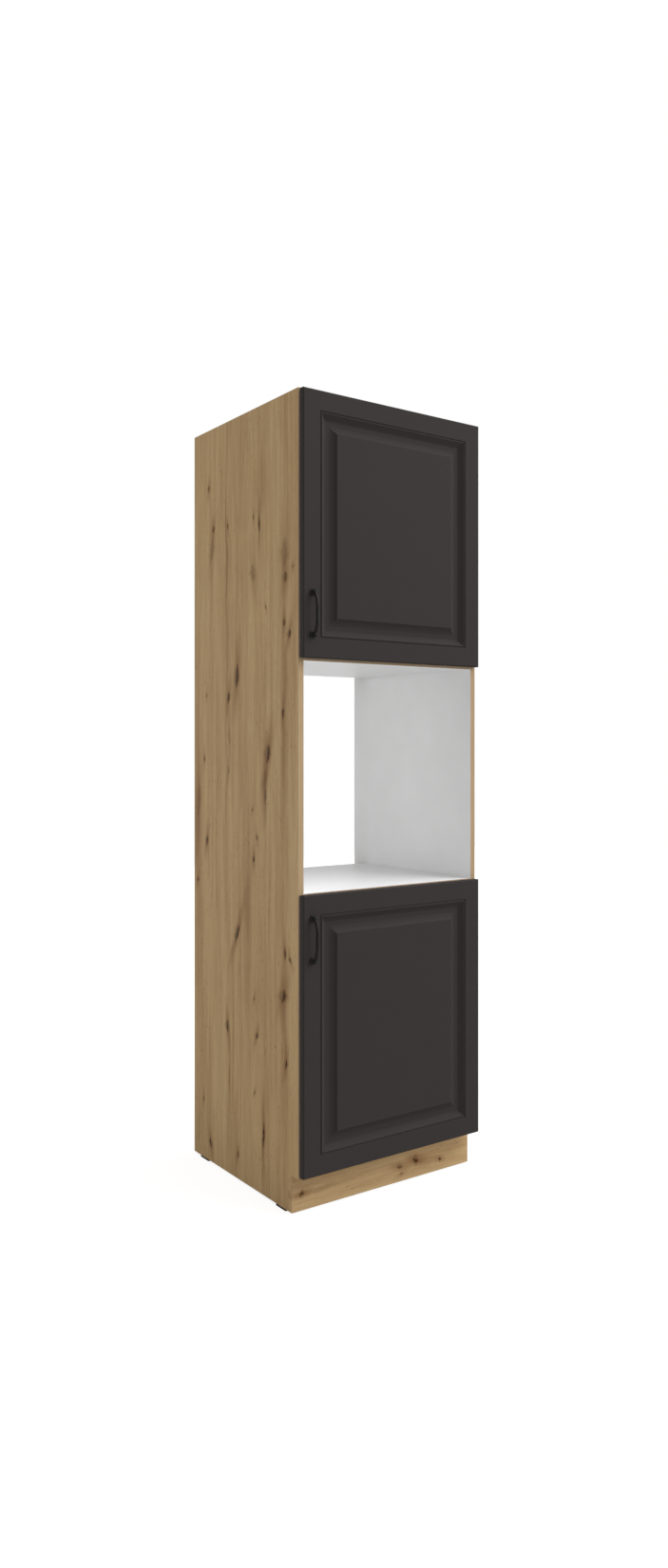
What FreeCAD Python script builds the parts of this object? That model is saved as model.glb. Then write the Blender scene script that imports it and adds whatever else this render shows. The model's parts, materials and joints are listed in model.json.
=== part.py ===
# Tall kitchen cabinet that houses a built-in oven: two side panels on glides, four fixed boards,
# an open oven niche, and a raised-panel door on concealed hinges above and below the niche.
# Frame: +X to the right, -Y to the front, +Z up, origin at the middle of the footprint on the floor.
import FreeCAD, Part
import os
import re

import Sketcher
from FreeCAD import Placement, Rotation, Vector

SIZES = {
    # whole cabinet
    "width": 600.0,
    "height": 2100.0,
    "depth": 553.0,
    "board": 16.0,
    "base_height": 100.0,
    "lower_section": 720.0,
    "niche_height": 591.0,
    "niche_back_gap": 66.0,
    # shelves inside, back panels and plinth
    "shelf_setback": 20.0,
    "shelf_back_gap": 20.0,
    "shelf_side_gap": 0.5,
    "upper_shelf_rise": 330.0,
    "lower_shelf_rise": 345.0,
    "back_board": 3.0,
    "back_inset": 10.0,
    "back_groove": 6.0,
    "back_short": 9.0,
    "plinth_setback": 30.0,
    "glide_height": 5.0,
    "glide_length": 49.0,
    "glide_corner": 4.0,
    "glide_front": 59.5,
    "glide_back": 36.0,
    # fits shared by all pieces
    "fit": 0.1,
    "overrun": 2.0,
    # cam fittings and dowels
    "joint_front": 60.0,
    "joint_back": 70.0,
    "cam_radius": 7.5,
    "cam_depth": 12.0,
    "cam_reach": 34.0,
    "bolt_radius": 3.0,
    "bolt_bite": 11.0,
    "dowel_radius": 4.0,
    "dowel_bite": 10.0,
    "dowel_length": 30.0,
    "dowel_step": 32.0,
    # shelf pins and their spare holes
    "pin_radius": 2.5,
    "pin_bite": 9.0,
    "pin_length": 18.0,
    "pin_front": 60.0,
    "pin_back": 120.0,
    "pin_pitch": 32.0,
    # doors
    "seam": 2.0,
    "door_board": 18.0,
    "door_side_gap": 2.5,
    "upper_door_top_gap": 3.0,
    "upper_door_bottom_gap": 6.0,
    "lower_door_top_gap": 2.0,
    "lower_door_bottom_gap": 5.0,
    "door_rounding": 3.0,
    "frame_width": 51.0,
    "groove_width": 4.0,
    "groove_depth": 2.2,
    "bead_width": 2.5,
    "bead_drop": 0.8,
    "ogee_width": 15.0,
    "recess_width": 12.0,
    "cove_width": 19.0,
    "moulding_depth": 10.2,
    "field_drop": 0.4,
    "bumper_radius": 4.0,
    "bumper_inset": 40.0,
    # bow handles
    "handle_reach": 25.0,
    "handle_inset": 28.0,
    "handle_spacing": 107.0,
    "handle_from_end": 112.0,
    "handle_straight": 36.0,
    "bar_radius": 4.2,
    "rosette_radius": 9.0,
    "rosette_rim": 2.0,
    "neck_radius": 5.0,
    "neck_rise": 6.5,
    "bulb_radius": 6.4,
    "bulb_rise": 9.5,
    "handle_screw_radius": 2.0,
    "handle_screw_bite": 8.0,
    # screws
    "head_radius": 3.6,
    "head_height": 1.6,
    "shank_radius": 1.8,
    "screw_bite": 11.0,
    # concealed hinges: inward is measured from the right panel's inner face, forward from the carcase front
    "hinge_from_end": 100.0,
    "cup_inset": 22.0,
    "cup_radius": 17.5,
    "cup_depth": 12.4,
    "cup_floor": 0.9,
    "cup_flange": 1.2,
    "cup_rim": 1.2,
    "cup_slot_wall": 0.8,
    "cup_slot_half": 7.5,
    "wing_offset": 9.5,
    "wing_half_width": 6.0,
    "wing_half_height": 30.0,
    "cup_screw_half_spacing": 24.0,
    "cup_pin_radius": 1.25,
    "cup_pin_half": 9.0,
    "cup_pin_outward": 5.0,
    "cup_pin_forward": 6.0,
    "arm_pin_radius": 1.75,
    "arm_pin_inward": 18.0,
    "arm_pin_back": 5.0,
    "arm_half": 10.5,
    "arm_wall": 1.5,
    "arm_end": 58.0,
    "arm_bend": 24.0,
    "arm_rise": 13.5,
    "ear_radius": 4.2,
    "plate_base": 2.5,
    "plate_height": 8.0,
    "plate_line": 37.0,
    "plate_half_length": 20.0,
    "plate_wing_half": 24.0,
    "plate_wing_width": 12.0,
    "plate_screw_half_spacing": 16.0,
    "arm_screw_back": 50.0,
    "link_half": 6.0,
    "link_eye": 2.6,
    "link_tail": 4.2,
    "link_slot_play": 0.55,
    "link_slot_near": 1.2,
    "link_slot_far": 4.1,
    # brackets
    "bracket_leg": 32.0,
    "bracket_sheet": 2.0,
    "bracket_width": 24.0,
    "bracket_from_side": 90.0,
    "wall_hole_radius": 3.5,
    "plinth_bracket_sheet": 3.0,
}

# Shares of the width and depth of one door moulding curve, for the point that the curve passes through.
OGEE_KNEE_SHARES = (0.5, 0.58)
OGEE_CROWN_SHARES = (0.25, 0.3)
OGEE_FOOT_SHARES = (0.75, 0.84)
COVE_SHARES = (0.54, 0.66)
# Strap of the hinge link: shares of the run from cup pin to arm pin, and of the cup's depth above its mouth.
STRAP_TOP_SHARES = ((0.0, 0.55), (0.26, 0.78), (0.63, 0.64))
STRAP_UNDER_SHARES = ((0.44, 0.33), (0.24, 0.42), (0.13, 0.36))
SCREW_SEAT_SHARE = 0.6
HALF_SHARE = 0.5

os.makedirs("parts", exist_ok=True)
doc = FreeCAD.newDocument("tall_oven_cabinet")
sheet = doc.addObject("Spreadsheet::Sheet", "sizes")
for row, (alias, value) in enumerate(SIZES.items(), start=1):
    cell = "A%d" % row
    sheet.set(cell, str(value))
    sheet.setAlias(cell, alias)
doc.recompute()
size = {alias: getattr(sheet, alias) for alias in SIZES}
nodes = {}

# Places that many pieces share, written in named sizes.
LEFT = "(0 - width / 2)"
RIGHT_INNER = "(width / 2 - board)"
FRONT = "((seam + door_board + handle_reach - depth) / 2)"
BACK = "(%s + depth)" % FRONT
INNER_WIDTH = "(width - 2 * board)"
DOOR_BACK = "(%s - seam)" % FRONT
DOOR_FRONT = "(%s - seam - door_board)" % FRONT
DOOR_WIDTH = "(width - 2 * door_side_gap)"
NICHE_FLOOR = "(base_height + lower_section)"
NICHE_CEILING = "(base_height + lower_section + niche_height)"
BACK_PANEL_FRONT = "(%s - back_inset - back_board)" % BACK
NICHE_DEPTH = "(depth - niche_back_gap)"
SHELF_DEPTH = "(depth - back_inset - back_board - shelf_back_gap - shelf_setback)"
DOORS = {
    "upper": ("(%s + upper_door_bottom_gap)" % NICHE_CEILING, "(height - upper_door_top_gap)"),
    "lower": ("(base_height + lower_door_bottom_gap)", "(%s - lower_door_top_gap)" % NICHE_FLOOR),
}
TURNS = {"x": Rotation(Vector(0, 1, 0), 90), "y": Rotation(Vector(1, 0, 0), -90), "z": Rotation()}


def named(expression):
    """Write the sheet's name before each size in an expression."""
    return re.sub(r"[a-z_]+", r"sizes.\g<0>", expression)


def place(thing, corner):
    """Bind the place of an object to the sheet."""
    for axis, expression in zip("xyz", corner):
        thing.setExpression("Placement.Base." + axis, named(expression))


def box(label, corner, extent):
    block = doc.addObject("Part::Box", label)
    for prop, expression in zip(("Length", "Width", "Height"), extent):
        block.setExpression(prop, named(expression))
    place(block, corner)
    return block


def rod(label, axis, start, radius, length):
    bar = doc.addObject("Part::Cylinder", label)
    bar.Placement = Placement(Vector(), TURNS[axis])
    bar.setExpression("Radius", named(radius))
    bar.setExpression("Height", named(length))
    place(bar, start)
    return bar


def joined(label, pieces):
    whole = doc.addObject("Part::MultiFuse", label)
    whole.Shapes = pieces
    return whole


def grouped(label, pieces):
    group = doc.addObject("Part::Compound", label)
    group.Links = pieces
    return group


def cut(label, base, tool):
    rest = doc.addObject("Part::Cut", label)
    rest.Base = base
    rest.Tool = tool
    return rest


def prism(label, plane, corners, thickness, start):
    """A closed outline on an origin plane, padded along the plane's normal from a named start."""
    body = doc.addObject("PartDesign::Body", label)
    sketch = body.newObject("Sketcher::SketchObject", label + "_outline")
    support = [part for part in body.Origin.OriginFeatures if part.Role == plane + "_Plane"][0]
    sketch.AttachmentSupport = (support, [""])
    sketch.MapMode = "FlatFace"
    count = len(corners)
    ring = [Rotation(Vector(0, 0, 1), 360 * k / count).multVec(Vector(1, 0, 0)) for k in range(count)]
    for k in range(count):
        sketch.addGeometry(Part.LineSegment(ring[k], ring[(k + 1) % count]))
    for k in range(count):
        sketch.addConstraint(Sketcher.Constraint("Coincident", k, 2, (k + 1) % count, 1))
    for k, corner in enumerate(corners):
        for kind, expression in zip(("DistanceX", "DistanceY"), corner):
            bound = sketch.addConstraint(Sketcher.Constraint(kind, -1, 1, k, 1, 1.0))
            sketch.setExpression("Constraints[%d]" % bound, named(expression))
    pad = body.newObject("PartDesign::Pad", label + "_pad")
    pad.Profile = sketch
    pad.setExpression("Length", named(thickness))
    body.Tip = pad
    body.setExpression("Placement.Base." + {"XY": "z", "YZ": "x"}[plane], named(start))
    return body


def shifted(place_text, amount):
    return "(%s + %s)" % (place_text, amount)


def screw(label, axis, sense, seat, length, shank="shank_radius", head="head_radius"):
    """A pan-head screw whose head sits on its seat; sense 1 drives it along the axis, -1 against it."""
    at = "xyz".index(axis)
    tail = list(seat)
    cap = list(seat)
    if sense > 0:
        cap[at] = shifted(seat[at], "0 - head_height")
    else:
        tail[at] = shifted(seat[at], "0 - (%s)" % length)
    stem = rod(label + "_shank", axis, tail, shank, length)
    top = rod(label + "_head", axis, cap, head, "head_height")
    return joined(label, [stem, top])


def bore(label, axis, sense, seat, length, radius="shank_radius"):
    """The hole for a screw or bolt, wider and deeper than it by the fit."""
    at = "xyz".index(axis)
    start = list(seat)
    if sense < 0:
        start[at] = shifted(seat[at], "0 - (%s) - fit" % length)
    return rod(label, axis, start, radius + " + fit", "(%s) + fit" % length)


def keep(label, thing):
    """Name an object as one piece of the cabinet."""
    thing.Label = label
    nodes[label] = thing
    return thing


def inward_x(inward):
    return "(%s - (%s))" % (RIGHT_INNER, inward)


def forward_y(forward):
    return "(%s - (%s))" % (FRONT, forward)


# Fixed boards: underside height, depth and the face that its cam fittings are let into.
FIXED_BOARDS = {
    "bottom_panel": ("base_height", "depth", "under"),
    "oven_shelf": ("(%s - board)" % NICHE_FLOOR, NICHE_DEPTH, "under"),
    "niche_top_shelf": (NICHE_CEILING, NICHE_DEPTH, "above"),
    "top_panel": ("(height - board)", "depth", "above"),
}


def make_joinery():
    """Cam locks, their bolts and the dowels that hold the fixed boards between the sides."""
    cams, bolts, dowels, bores, seats = [], [], [], [], []
    for board, (underside, depth, face) in FIXED_BOARDS.items():
        middle = shifted(underside, "board / 2")
        rows = {"front": (shifted(FRONT, "joint_front"), "dowel_step"),
                "back": ("(%s + %s - joint_back)" % (FRONT, depth), "0 - dowel_step")}
        for row, (line, step) in rows.items():
            dowel_line = shifted(line, step)
            for side in ("left", "right"):
                tag = "%s_%s_%s" % (board, row, side)
                if side == "left":
                    inner = shifted(LEFT, "board")
                    cam_x = shifted(inner, "cam_reach")
                    bolt_x = shifted(inner, "0 - bolt_bite")
                    dowel_x = shifted(inner, "0 - dowel_bite")
                else:
                    inner = RIGHT_INNER
                    cam_x = shifted(inner, "0 - cam_reach")
                    bolt_x = cam_x
                    dowel_x = shifted(inner, "dowel_bite - dowel_length")
                bolt_length = "(bolt_bite + cam_reach)"
                bolts.append(rod(tag + "_bolt", "x", (bolt_x, line, middle), "bolt_radius", bolt_length))
                bores.append(rod(tag + "_bolt_bore", "x", (shifted(bolt_x, "0 - fit"), line, middle),
                                 "bolt_radius + fit", bolt_length + " + 2 * fit"))
                dowels.append(rod(tag + "_dowel", "x", (dowel_x, dowel_line, middle),
                                  "dowel_radius", "dowel_length"))
                bores.append(rod(tag + "_dowel_bore", "x", (shifted(dowel_x, "0 - fit"), dowel_line, middle),
                                 "dowel_radius + fit", "dowel_length + 2 * fit"))
                if face == "under":
                    cam_z = underside
                    seat_z = shifted(underside, "0 - overrun")
                else:
                    cam_z = "(%s + board - cam_depth)" % underside
                    seat_z = shifted(cam_z, "0 - fit")
                cams.append(rod(tag + "_cam", "z", (cam_x, line, cam_z), "cam_radius", "cam_depth"))
                seats.append(rod(tag + "_cam_seat", "z", (cam_x, line, seat_z), "cam_radius + fit",
                                 "cam_depth + fit + overrun"))
    bolt_bores = joined("joint_bores", bores)
    keep("cam_bolts", grouped("cam_bolts", bolts))
    keep("dowels", grouped("dowels", dowels))
    keep("cam_locks", cut("cam_locks", grouped("cam_blanks", cams), bolt_bores))
    return joined("joint_tools", [bolt_bores] + seats)


def make_brackets():
    """Steel angles for the wall screws, and plastic angles that hold the plinth."""
    ceiling = "(height - board)"
    plinth_back = "(%s + plinth_setback + board)" % FRONT
    wall, wall_screws, wall_bores = [], [], []
    plinth, plinth_screws, plinth_bores = [], [], []
    starts = {"left": "(%s + bracket_from_side)" % LEFT,
              "right": "(0 - %s - bracket_from_side - bracket_width)" % LEFT}
    seat_step = "%s * bracket_leg" % SCREW_SEAT_SHARE
    for side, start in starts.items():
        middle = shifted(start, "bracket_width / 2")
        wall_y = BACK_PANEL_FRONT
        angle = prism("wall_angle_" + side, "YZ", (
            ("%s - bracket_leg" % wall_y, ceiling),
            (wall_y, ceiling),
            (wall_y, "%s - bracket_leg" % ceiling),
            ("%s - bracket_sheet" % wall_y, "%s - bracket_leg" % ceiling),
            ("%s - bracket_sheet" % wall_y, "%s - bracket_sheet" % ceiling),
            ("%s - bracket_leg" % wall_y, "%s - bracket_sheet" % ceiling)), "bracket_width", start)
        seat = (middle, "(%s - %s)" % (wall_y, seat_step), "(%s - bracket_sheet)" % ceiling)
        wall_screws.append(screw("wall_bracket_screw_" + side, "z", 1, seat, "screw_bite"))
        hole = bore("wall_bracket_bore_" + side, "z", 1, seat, "screw_bite")
        hole_start = (middle, "(%s - bracket_sheet - overrun)" % wall_y, "(%s - %s)" % (ceiling, seat_step))
        wall_hole = rod("wall_hole_" + side, "y", hole_start,
                        "wall_hole_radius", "bracket_sheet + back_board + 2 * overrun")
        wall_bores += [hole, wall_hole]
        wall.append(cut("wall_bracket_" + side, angle, joined("wall_tools_" + side, [hole, wall_hole])))
        sheet_z = "(base_height - plinth_bracket_sheet)"
        angle = prism("plinth_angle_" + side, "YZ", (
            (plinth_back, "base_height"),
            ("%s + bracket_leg" % plinth_back, "base_height"),
            ("%s + bracket_leg" % plinth_back, sheet_z),
            ("%s + plinth_bracket_sheet" % plinth_back, sheet_z),
            ("%s + plinth_bracket_sheet" % plinth_back, "base_height - bracket_leg"),
            (plinth_back, "base_height - bracket_leg")), "bracket_width", start)
        up = (middle, "(%s + %s)" % (plinth_back, seat_step), sheet_z)
        ahead = (middle, shifted(plinth_back, "plinth_bracket_sheet"), "(base_height - %s)" % seat_step)
        plinth_screws.append(screw("plinth_screw_up_" + side, "z", 1, up, "screw_bite"))
        plinth_screws.append(screw("plinth_screw_ahead_" + side, "y", -1, ahead, "screw_bite"))
        holes = [bore("plinth_bore_up_" + side, "z", 1, up, "screw_bite"),
                 bore("plinth_bore_ahead_" + side, "y", -1, ahead, "screw_bite")]
        plinth_bores += holes
        plinth.append(cut("plinth_bracket_" + side, angle, joined("plinth_tools_" + side, holes)))
    keep("wall_brackets", grouped("wall_brackets", wall))
    keep("wall_bracket_screws", grouped("wall_bracket_screws", wall_screws))
    keep("plinth_brackets", grouped("plinth_brackets", plinth))
    keep("plinth_bracket_screws", grouped("plinth_bracket_screws", plinth_screws))
    return joined("wall_bores", wall_bores), joined("plinth_bores", plinth_bores)


SHELVES = {
    "upper_shelf": "(%s + board + upper_shelf_rise)" % NICHE_CEILING,
    "lower_shelf": "(base_height + board + lower_shelf_rise)",
}


def make_shelves():
    """Loose shelves on pins, with a spare row of pin holes above and below."""
    pins, bores = [], []
    for shelf, underside in SHELVES.items():
        front = shifted(FRONT, "shelf_setback")
        keep(shelf, box(shelf, (shifted(LEFT, "board + shelf_side_gap"), front, underside),
                        ("%s - 2 * shelf_side_gap" % INNER_WIDTH, SHELF_DEPTH, "board")))
        rows = {"pin_front": shifted(FRONT, "pin_front"),
                "pin_back": "(%s + %s - pin_back)" % (front, SHELF_DEPTH)}
        for row, pin_y in rows.items():
            pin_z = shifted(underside, "0 - pin_radius")
            starts = {"left": shifted(LEFT, "board - pin_bite"),
                      "right": shifted(RIGHT_INNER, "pin_bite - pin_length")}
            for side, start in starts.items():
                tag = "%s_%s_%s" % (shelf, row, side)
                pins.append(rod(tag, "x", (start, pin_y, pin_z), "pin_radius", "pin_length"))
                hole_x = start if side == "right" else shifted(start, "0 - fit")
                for step in (-1, 0, 1):
                    hole_z = "(%s + %d * pin_pitch)" % (pin_z, step)
                    bores.append(rod("%s_bore_%d" % (tag, step + 1), "x", (hole_x, pin_y, hole_z),
                                     "pin_radius + fit", "pin_length + fit"))
    keep("shelf_pins", grouped("shelf_pins", pins))
    return bores


def make_backs():
    """Thin back panels let into grooves in the sides; the niche between them stays open."""
    panels = {
        "upper_back_panel": ("(%s + back_short)" % NICHE_CEILING, "(height - board)"),
        "lower_back_panel": ("(base_height + board)", "(%s - board + back_short)" % NICHE_FLOOR),
    }
    grooves, blanks = [], {}
    left = shifted(LEFT, "board - back_groove")
    wide = "(%s + 2 * back_groove)" % INNER_WIDTH
    for label, (low, high) in panels.items():
        blanks[label] = box(label + "_blank", (shifted(left, "fit"), BACK_PANEL_FRONT, low),
                            ("%s - 2 * fit" % wide, "back_board", "%s - %s" % (high, low)))
        corner = (left, shifted(BACK_PANEL_FRONT, "0 - fit"), shifted(low, "0 - fit"))
        grooves.append(box(label + "_groove", corner,
                           (wide, "back_board + 2 * fit", "%s - %s + 2 * fit" % (high, low))))
    return blanks, grooves


def hinge_levels(door):
    low, high = DOORS[door]
    return {"bottom": shifted(low, "hinge_from_end"), "top": shifted(high, "0 - hinge_from_end")}


CUP_INWARD = "(cup_inset + door_side_gap - board)"
PIN_INWARD = "(0 - cup_pin_outward)"
MOUTH = "seam"


def make_hinge_plate(tag, level):
    """Cross-shaped mounting plate with a raised rail, screwed to the right panel."""
    line = forward_y("0 - plate_line")
    wing = "plate_wing_width / 2"
    long = "plate_half_length"
    tall = "plate_wing_half"
    narrow = "arm_half"
    cross = [("-", long, "-", narrow), ("-", wing, "-", narrow), ("-", wing, "-", tall),
             ("+", wing, "-", tall), ("+", wing, "-", narrow), ("+", long, "-", narrow),
             ("+", long, "+", narrow), ("+", wing, "+", narrow), ("+", wing, "+", tall),
             ("-", wing, "+", tall), ("-", wing, "+", narrow), ("-", long, "+", narrow)]
    corners = [("%s %s %s" % (line, a, along), "%s %s %s" % (level, b, up)) for a, along, b, up in cross]
    base = prism(tag + "_base", "YZ", corners, "plate_base", inward_x("plate_base"))
    rail_corner = (inward_x("plate_height"), "(%s - %s)" % (line, long), "(%s - %s)" % (level, narrow))
    rail = box(tag + "_rail", rail_corner,
               ("plate_height - plate_base", "2 * %s" % long, "2 * %s" % narrow))
    whole = joined(tag + "_blank", [base, rail])
    screws, bores = [], []
    for sign in ("-", "+"):
        seat = (inward_x("plate_base"), line, "(%s %s plate_screw_half_spacing)" % (level, sign))
        part = "%s_screw_%s" % (tag, "low" if sign == "-" else "high")
        screws.append(screw(part, "x", 1, seat, "screw_bite"))
        bores.append(bore(part + "_bore", "x", 1, seat, "screw_bite"))
    return whole, screws, bores


def make_hinge_arm(tag, level):
    """Channel-shaped arm on the rail; its two ears hold the pin that the link slides on."""
    ear_out = "arm_pin_inward + ear_radius"
    ear_in = "arm_pin_inward - ear_radius"
    ear_front = "ear_radius - arm_pin_back"
    ear_rear = "0 - ear_radius - arm_pin_back"
    side = (("plate_height", "0 - arm_end"), ("arm_rise", "0 - arm_end"), ("arm_rise", "0 - arm_bend"),
            (ear_out, ear_rear), (ear_out, "ear_radius / 2 - arm_pin_back"),
            ("arm_pin_inward + ear_radius / 2", ear_front), (ear_in, ear_front), (ear_in, ear_rear),
            ("plate_height", "0 - arm_bend"))
    channel_end = "0 - arm_end - overrun"
    channel = (("plate_height - overrun", channel_end), ("arm_rise - arm_wall", channel_end),
               ("arm_rise - arm_wall", "0 - arm_bend"), (ear_out + " + overrun", ear_rear),
               (ear_out + " + overrun", ear_front + " + overrun"),
               ("plate_height - overrun", ear_front + " + overrun"))
    outer = prism(tag + "_side", "XY", [(inward_x(u), forward_y(v)) for u, v in side],
                  "2 * arm_half", "(%s - arm_half)" % level)
    inner = prism(tag + "_channel", "XY", [(inward_x(u), forward_y(v)) for u, v in channel],
                  "2 * arm_half - 2 * arm_wall", "(%s - arm_half + arm_wall)" % level)
    pin_seat = (inward_x("arm_pin_inward"), forward_y("0 - arm_pin_back"), "(%s - arm_half)" % level)
    pin = rod(tag + "_pin", "z", pin_seat, "arm_pin_radius", "2 * arm_half")
    pin_bore = rod(tag + "_pin_bore", "z", (pin_seat[0], pin_seat[1], shifted(pin_seat[2], "0 - overrun")),
                   "arm_pin_radius + fit / 2", "2 * arm_half + 2 * overrun")
    seat = (inward_x("arm_rise"), forward_y("0 - arm_screw_back"), level)
    bite = "arm_rise - plate_base"
    fixing = screw(tag + "_screw", "x", 1, seat, bite)
    hole = bore(tag + "_bore", "x", 1, seat, bite)
    arm = cut(tag, outer, joined(tag + "_tools", [inner, pin_bore, hole]))
    return arm, pin, fixing, hole


def make_hinge_cup(tag, level):
    """Round cup with a flange and wings, let into the door; its pocket takes the link."""
    cup_x = inward_x(CUP_INWARD)
    face_y = forward_y(MOUTH)
    floor_y = forward_y("%s + cup_depth" % MOUTH)
    cup = rod(tag + "_barrel", "y", (cup_x, floor_y, level), "cup_radius - fit", "cup_depth")
    rim = rod(tag + "_rim", "y", (cup_x, face_y, level), "cup_radius + cup_rim", "cup_flange")
    wing_x = inward_x("%s + wing_offset + wing_half_width" % CUP_INWARD)
    wings = box(tag + "_wings", (wing_x, face_y, "(%s - wing_half_height)" % level),
                ("2 * wing_half_width", "cup_flange", "2 * wing_half_height"))
    pocket_end = inward_x("%s + cup_radius - cup_slot_wall" % CUP_INWARD)
    pocket = box(tag + "_pocket", (pocket_end, shifted(floor_y, "cup_floor"), "(%s - cup_slot_half)" % level),
                 ("2 * cup_radius - 2 * cup_slot_wall", "cup_depth + cup_flange + overrun",
                  "2 * cup_slot_half"))
    pin_place = (inward_x(PIN_INWARD), forward_y("cup_pin_forward"), "(%s - cup_pin_half)" % level)
    pin = rod(tag + "_pin", "z", pin_place, "cup_pin_radius", "2 * cup_pin_half")
    pin_bore = rod(tag + "_pin_bore", "z", (pin_place[0], pin_place[1], shifted(pin_place[2], "0 - fit")),
                   "cup_pin_radius + fit / 2", "2 * cup_pin_half + 2 * fit")
    screws, bores = [], []
    for sign in ("-", "+"):
        seat = (inward_x("%s + wing_offset" % CUP_INWARD), shifted(face_y, "cup_flange"),
                "(%s %s cup_screw_half_spacing)" % (level, sign))
        part = "%s_screw_%s" % (tag, "low" if sign == "-" else "high")
        screws.append(screw(part, "y", -1, seat, "screw_bite"))
        bores.append(bore(part + "_bore", "y", -1, seat, "screw_bite"))
    seat_bore = rod(tag + "_seat", "y", (cup_x, shifted(floor_y, "0 - fit"), level), "cup_radius",
                    "cup_depth + fit + overrun")
    tools = joined(tag + "_tools", [pocket, pin_bore] + bores)
    return cut(tag, joined(tag + "_blank", [cup, rim, wings]), tools), pin, screws, bores + [seat_bore]


def make_hinge_link(tag, level):
    """Cranked link: an eye on the cup pin, and a slotted tail on the arm pin."""
    run = "(cup_pin_outward + arm_pin_inward)"
    start = "(%s - link_half)" % level
    eye_at = (inward_x(PIN_INWARD), forward_y("cup_pin_forward"))
    near_at = (inward_x("arm_pin_inward - link_slot_near"), forward_y("0 - arm_pin_back"))
    far_at = (inward_x("arm_pin_inward + link_slot_far"), forward_y("0 - arm_pin_back"))

    def strap_point(along, up):
        return (inward_x("%s + %s * %s" % (PIN_INWARD, along, run)),
                forward_y("%s + %s * cup_depth" % (MOUTH, up)))

    corners = [strap_point(*shares) for shares in STRAP_TOP_SHARES]
    corners.append((far_at[0], shifted(far_at[1], "0 - link_tail")))
    corners.append(far_at)
    corners.append((near_at[0], shifted(near_at[1], "link_tail / 2")))
    corners += [strap_point(*shares) for shares in STRAP_UNDER_SHARES]
    corners.append((eye_at[0], eye_at[1]))
    strap = prism(tag + "_strap", "XY", corners, "2 * link_half", start)
    eye = rod(tag + "_eye", "z", (eye_at[0], eye_at[1], start), "link_eye", "2 * link_half")
    near = rod(tag + "_tail_near", "z", (near_at[0], near_at[1], start), "link_tail", "2 * link_half")
    far = rod(tag + "_tail_far", "z", (far_at[0], far_at[1], start), "link_tail", "2 * link_half")
    bridge = box(tag + "_tail", (far_at[0], shifted(far_at[1], "0 - link_tail"), start),
                 ("link_slot_near + link_slot_far", "2 * link_tail", "2 * link_half"))
    blank = joined(tag + "_blank", [strap, eye, near, far, bridge])
    low = shifted(start, "0 - overrun")
    through = "2 * link_half + 2 * overrun"
    slot = "arm_pin_radius + link_slot_play"
    tools = [rod(tag + "_eye_bore", "z", (eye_at[0], eye_at[1], low), "cup_pin_radius + fit", through),
             rod(tag + "_slot_near", "z", (near_at[0], near_at[1], low), slot, through),
             rod(tag + "_slot_far", "z", (far_at[0], far_at[1], low), slot, through),
             box(tag + "_slot", (far_at[0], shifted(far_at[1], "0 - (%s)" % slot), low),
                 ("link_slot_near + link_slot_far", "2 * (%s)" % slot, through))]
    return cut(tag, blank, joined(tag + "_tools", tools))


def make_hinges():
    """Two concealed hinges for each door, as plates, arms, pins, links, cups and screws."""
    plate_screws, arm_screws, arm_pins, panel_bores = [], [], [], []
    door_bores = {}
    for door in DOORS:
        plates, arms, links, cups, cup_pins, cup_screws, bores = [], [], [], [], [], [], []
        for end, level in hinge_levels(door).items():
            tag = "%s_%s_hinge" % (door, end)
            plate, screws, plate_bores = make_hinge_plate(tag + "_plate", level)
            arm, pin, fixing, arm_bore = make_hinge_arm(tag + "_arm", level)
            plate_tools = joined(tag + "_plate_tools", plate_bores + [arm_bore])
            plates.append(cut(tag + "_drilled_plate", plate, plate_tools))
            plate_screws += screws
            panel_bores += plate_bores
            arms.append(arm)
            arm_pins.append(pin)
            arm_screws.append(fixing)
            cup, cup_pin, screws, holes = make_hinge_cup(tag + "_cup", level)
            cups.append(cup)
            cup_pins.append(cup_pin)
            cup_screws += screws
            bores += holes
            links.append(make_hinge_link(tag + "_link", level))
        for label, pieces in (("hinge_plates", plates), ("hinge_arms", arms), ("hinge_links", links),
                              ("hinge_cups", cups), ("cup_pins", cup_pins), ("cup_screws", cup_screws)):
            keep("%s_%s" % (door, label), grouped("%s_%s" % (door, label), pieces))
        door_bores[door] = bores
    keep("hinge_plate_screws", grouped("hinge_plate_screws", plate_screws))
    keep("hinge_arm_screws", grouped("hinge_arm_screws", arm_screws))
    keep("hinge_arm_pins", grouped("hinge_arm_pins", arm_pins))
    return panel_bores, door_bores


def make_sides(joint_tools, pin_bores, grooves, plate_bores):
    """Side panels, notched at the toe for the plinth and drilled for all that they carry."""
    notch_y = "%s + plinth_setback + board" % FRONT
    outline = ((notch_y, "glide_height"), (BACK, "glide_height"), (BACK, "height"), (FRONT, "height"),
               (FRONT, "base_height"), (notch_y, "base_height"))
    for side, start in (("left", LEFT), ("right", RIGHT_INNER)):
        label = side + "_side_panel"
        tools = [joint_tools] + grooves + [bar for bar in pin_bores if bar.Label.count("_%s_" % side)]
        if side == "right":
            tools += plate_bores
        blank = prism(label + "_blank", "YZ", outline, "board", start)
        keep(label, cut(label, blank, joined(label + "_tools", tools)))


def make_fixed_boards(joint_tools, wall_bores, plinth_bores):
    """The four boards between the sides, drilled for their joints and brackets."""
    bracket_bores = {"bottom_panel": plinth_bores, "top_panel": wall_bores}
    for label, (underside, depth, face) in FIXED_BOARDS.items():
        corner = (shifted(LEFT, "board"), FRONT, underside)
        blank = box(label + "_blank", corner, (INNER_WIDTH, depth, "board"))
        tools = joint_tools
        if label in bracket_bores:
            tools = joined(label + "_tools", [joint_tools, bracket_bores[label]])
        keep(label, cut(label, blank, tools))


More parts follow.
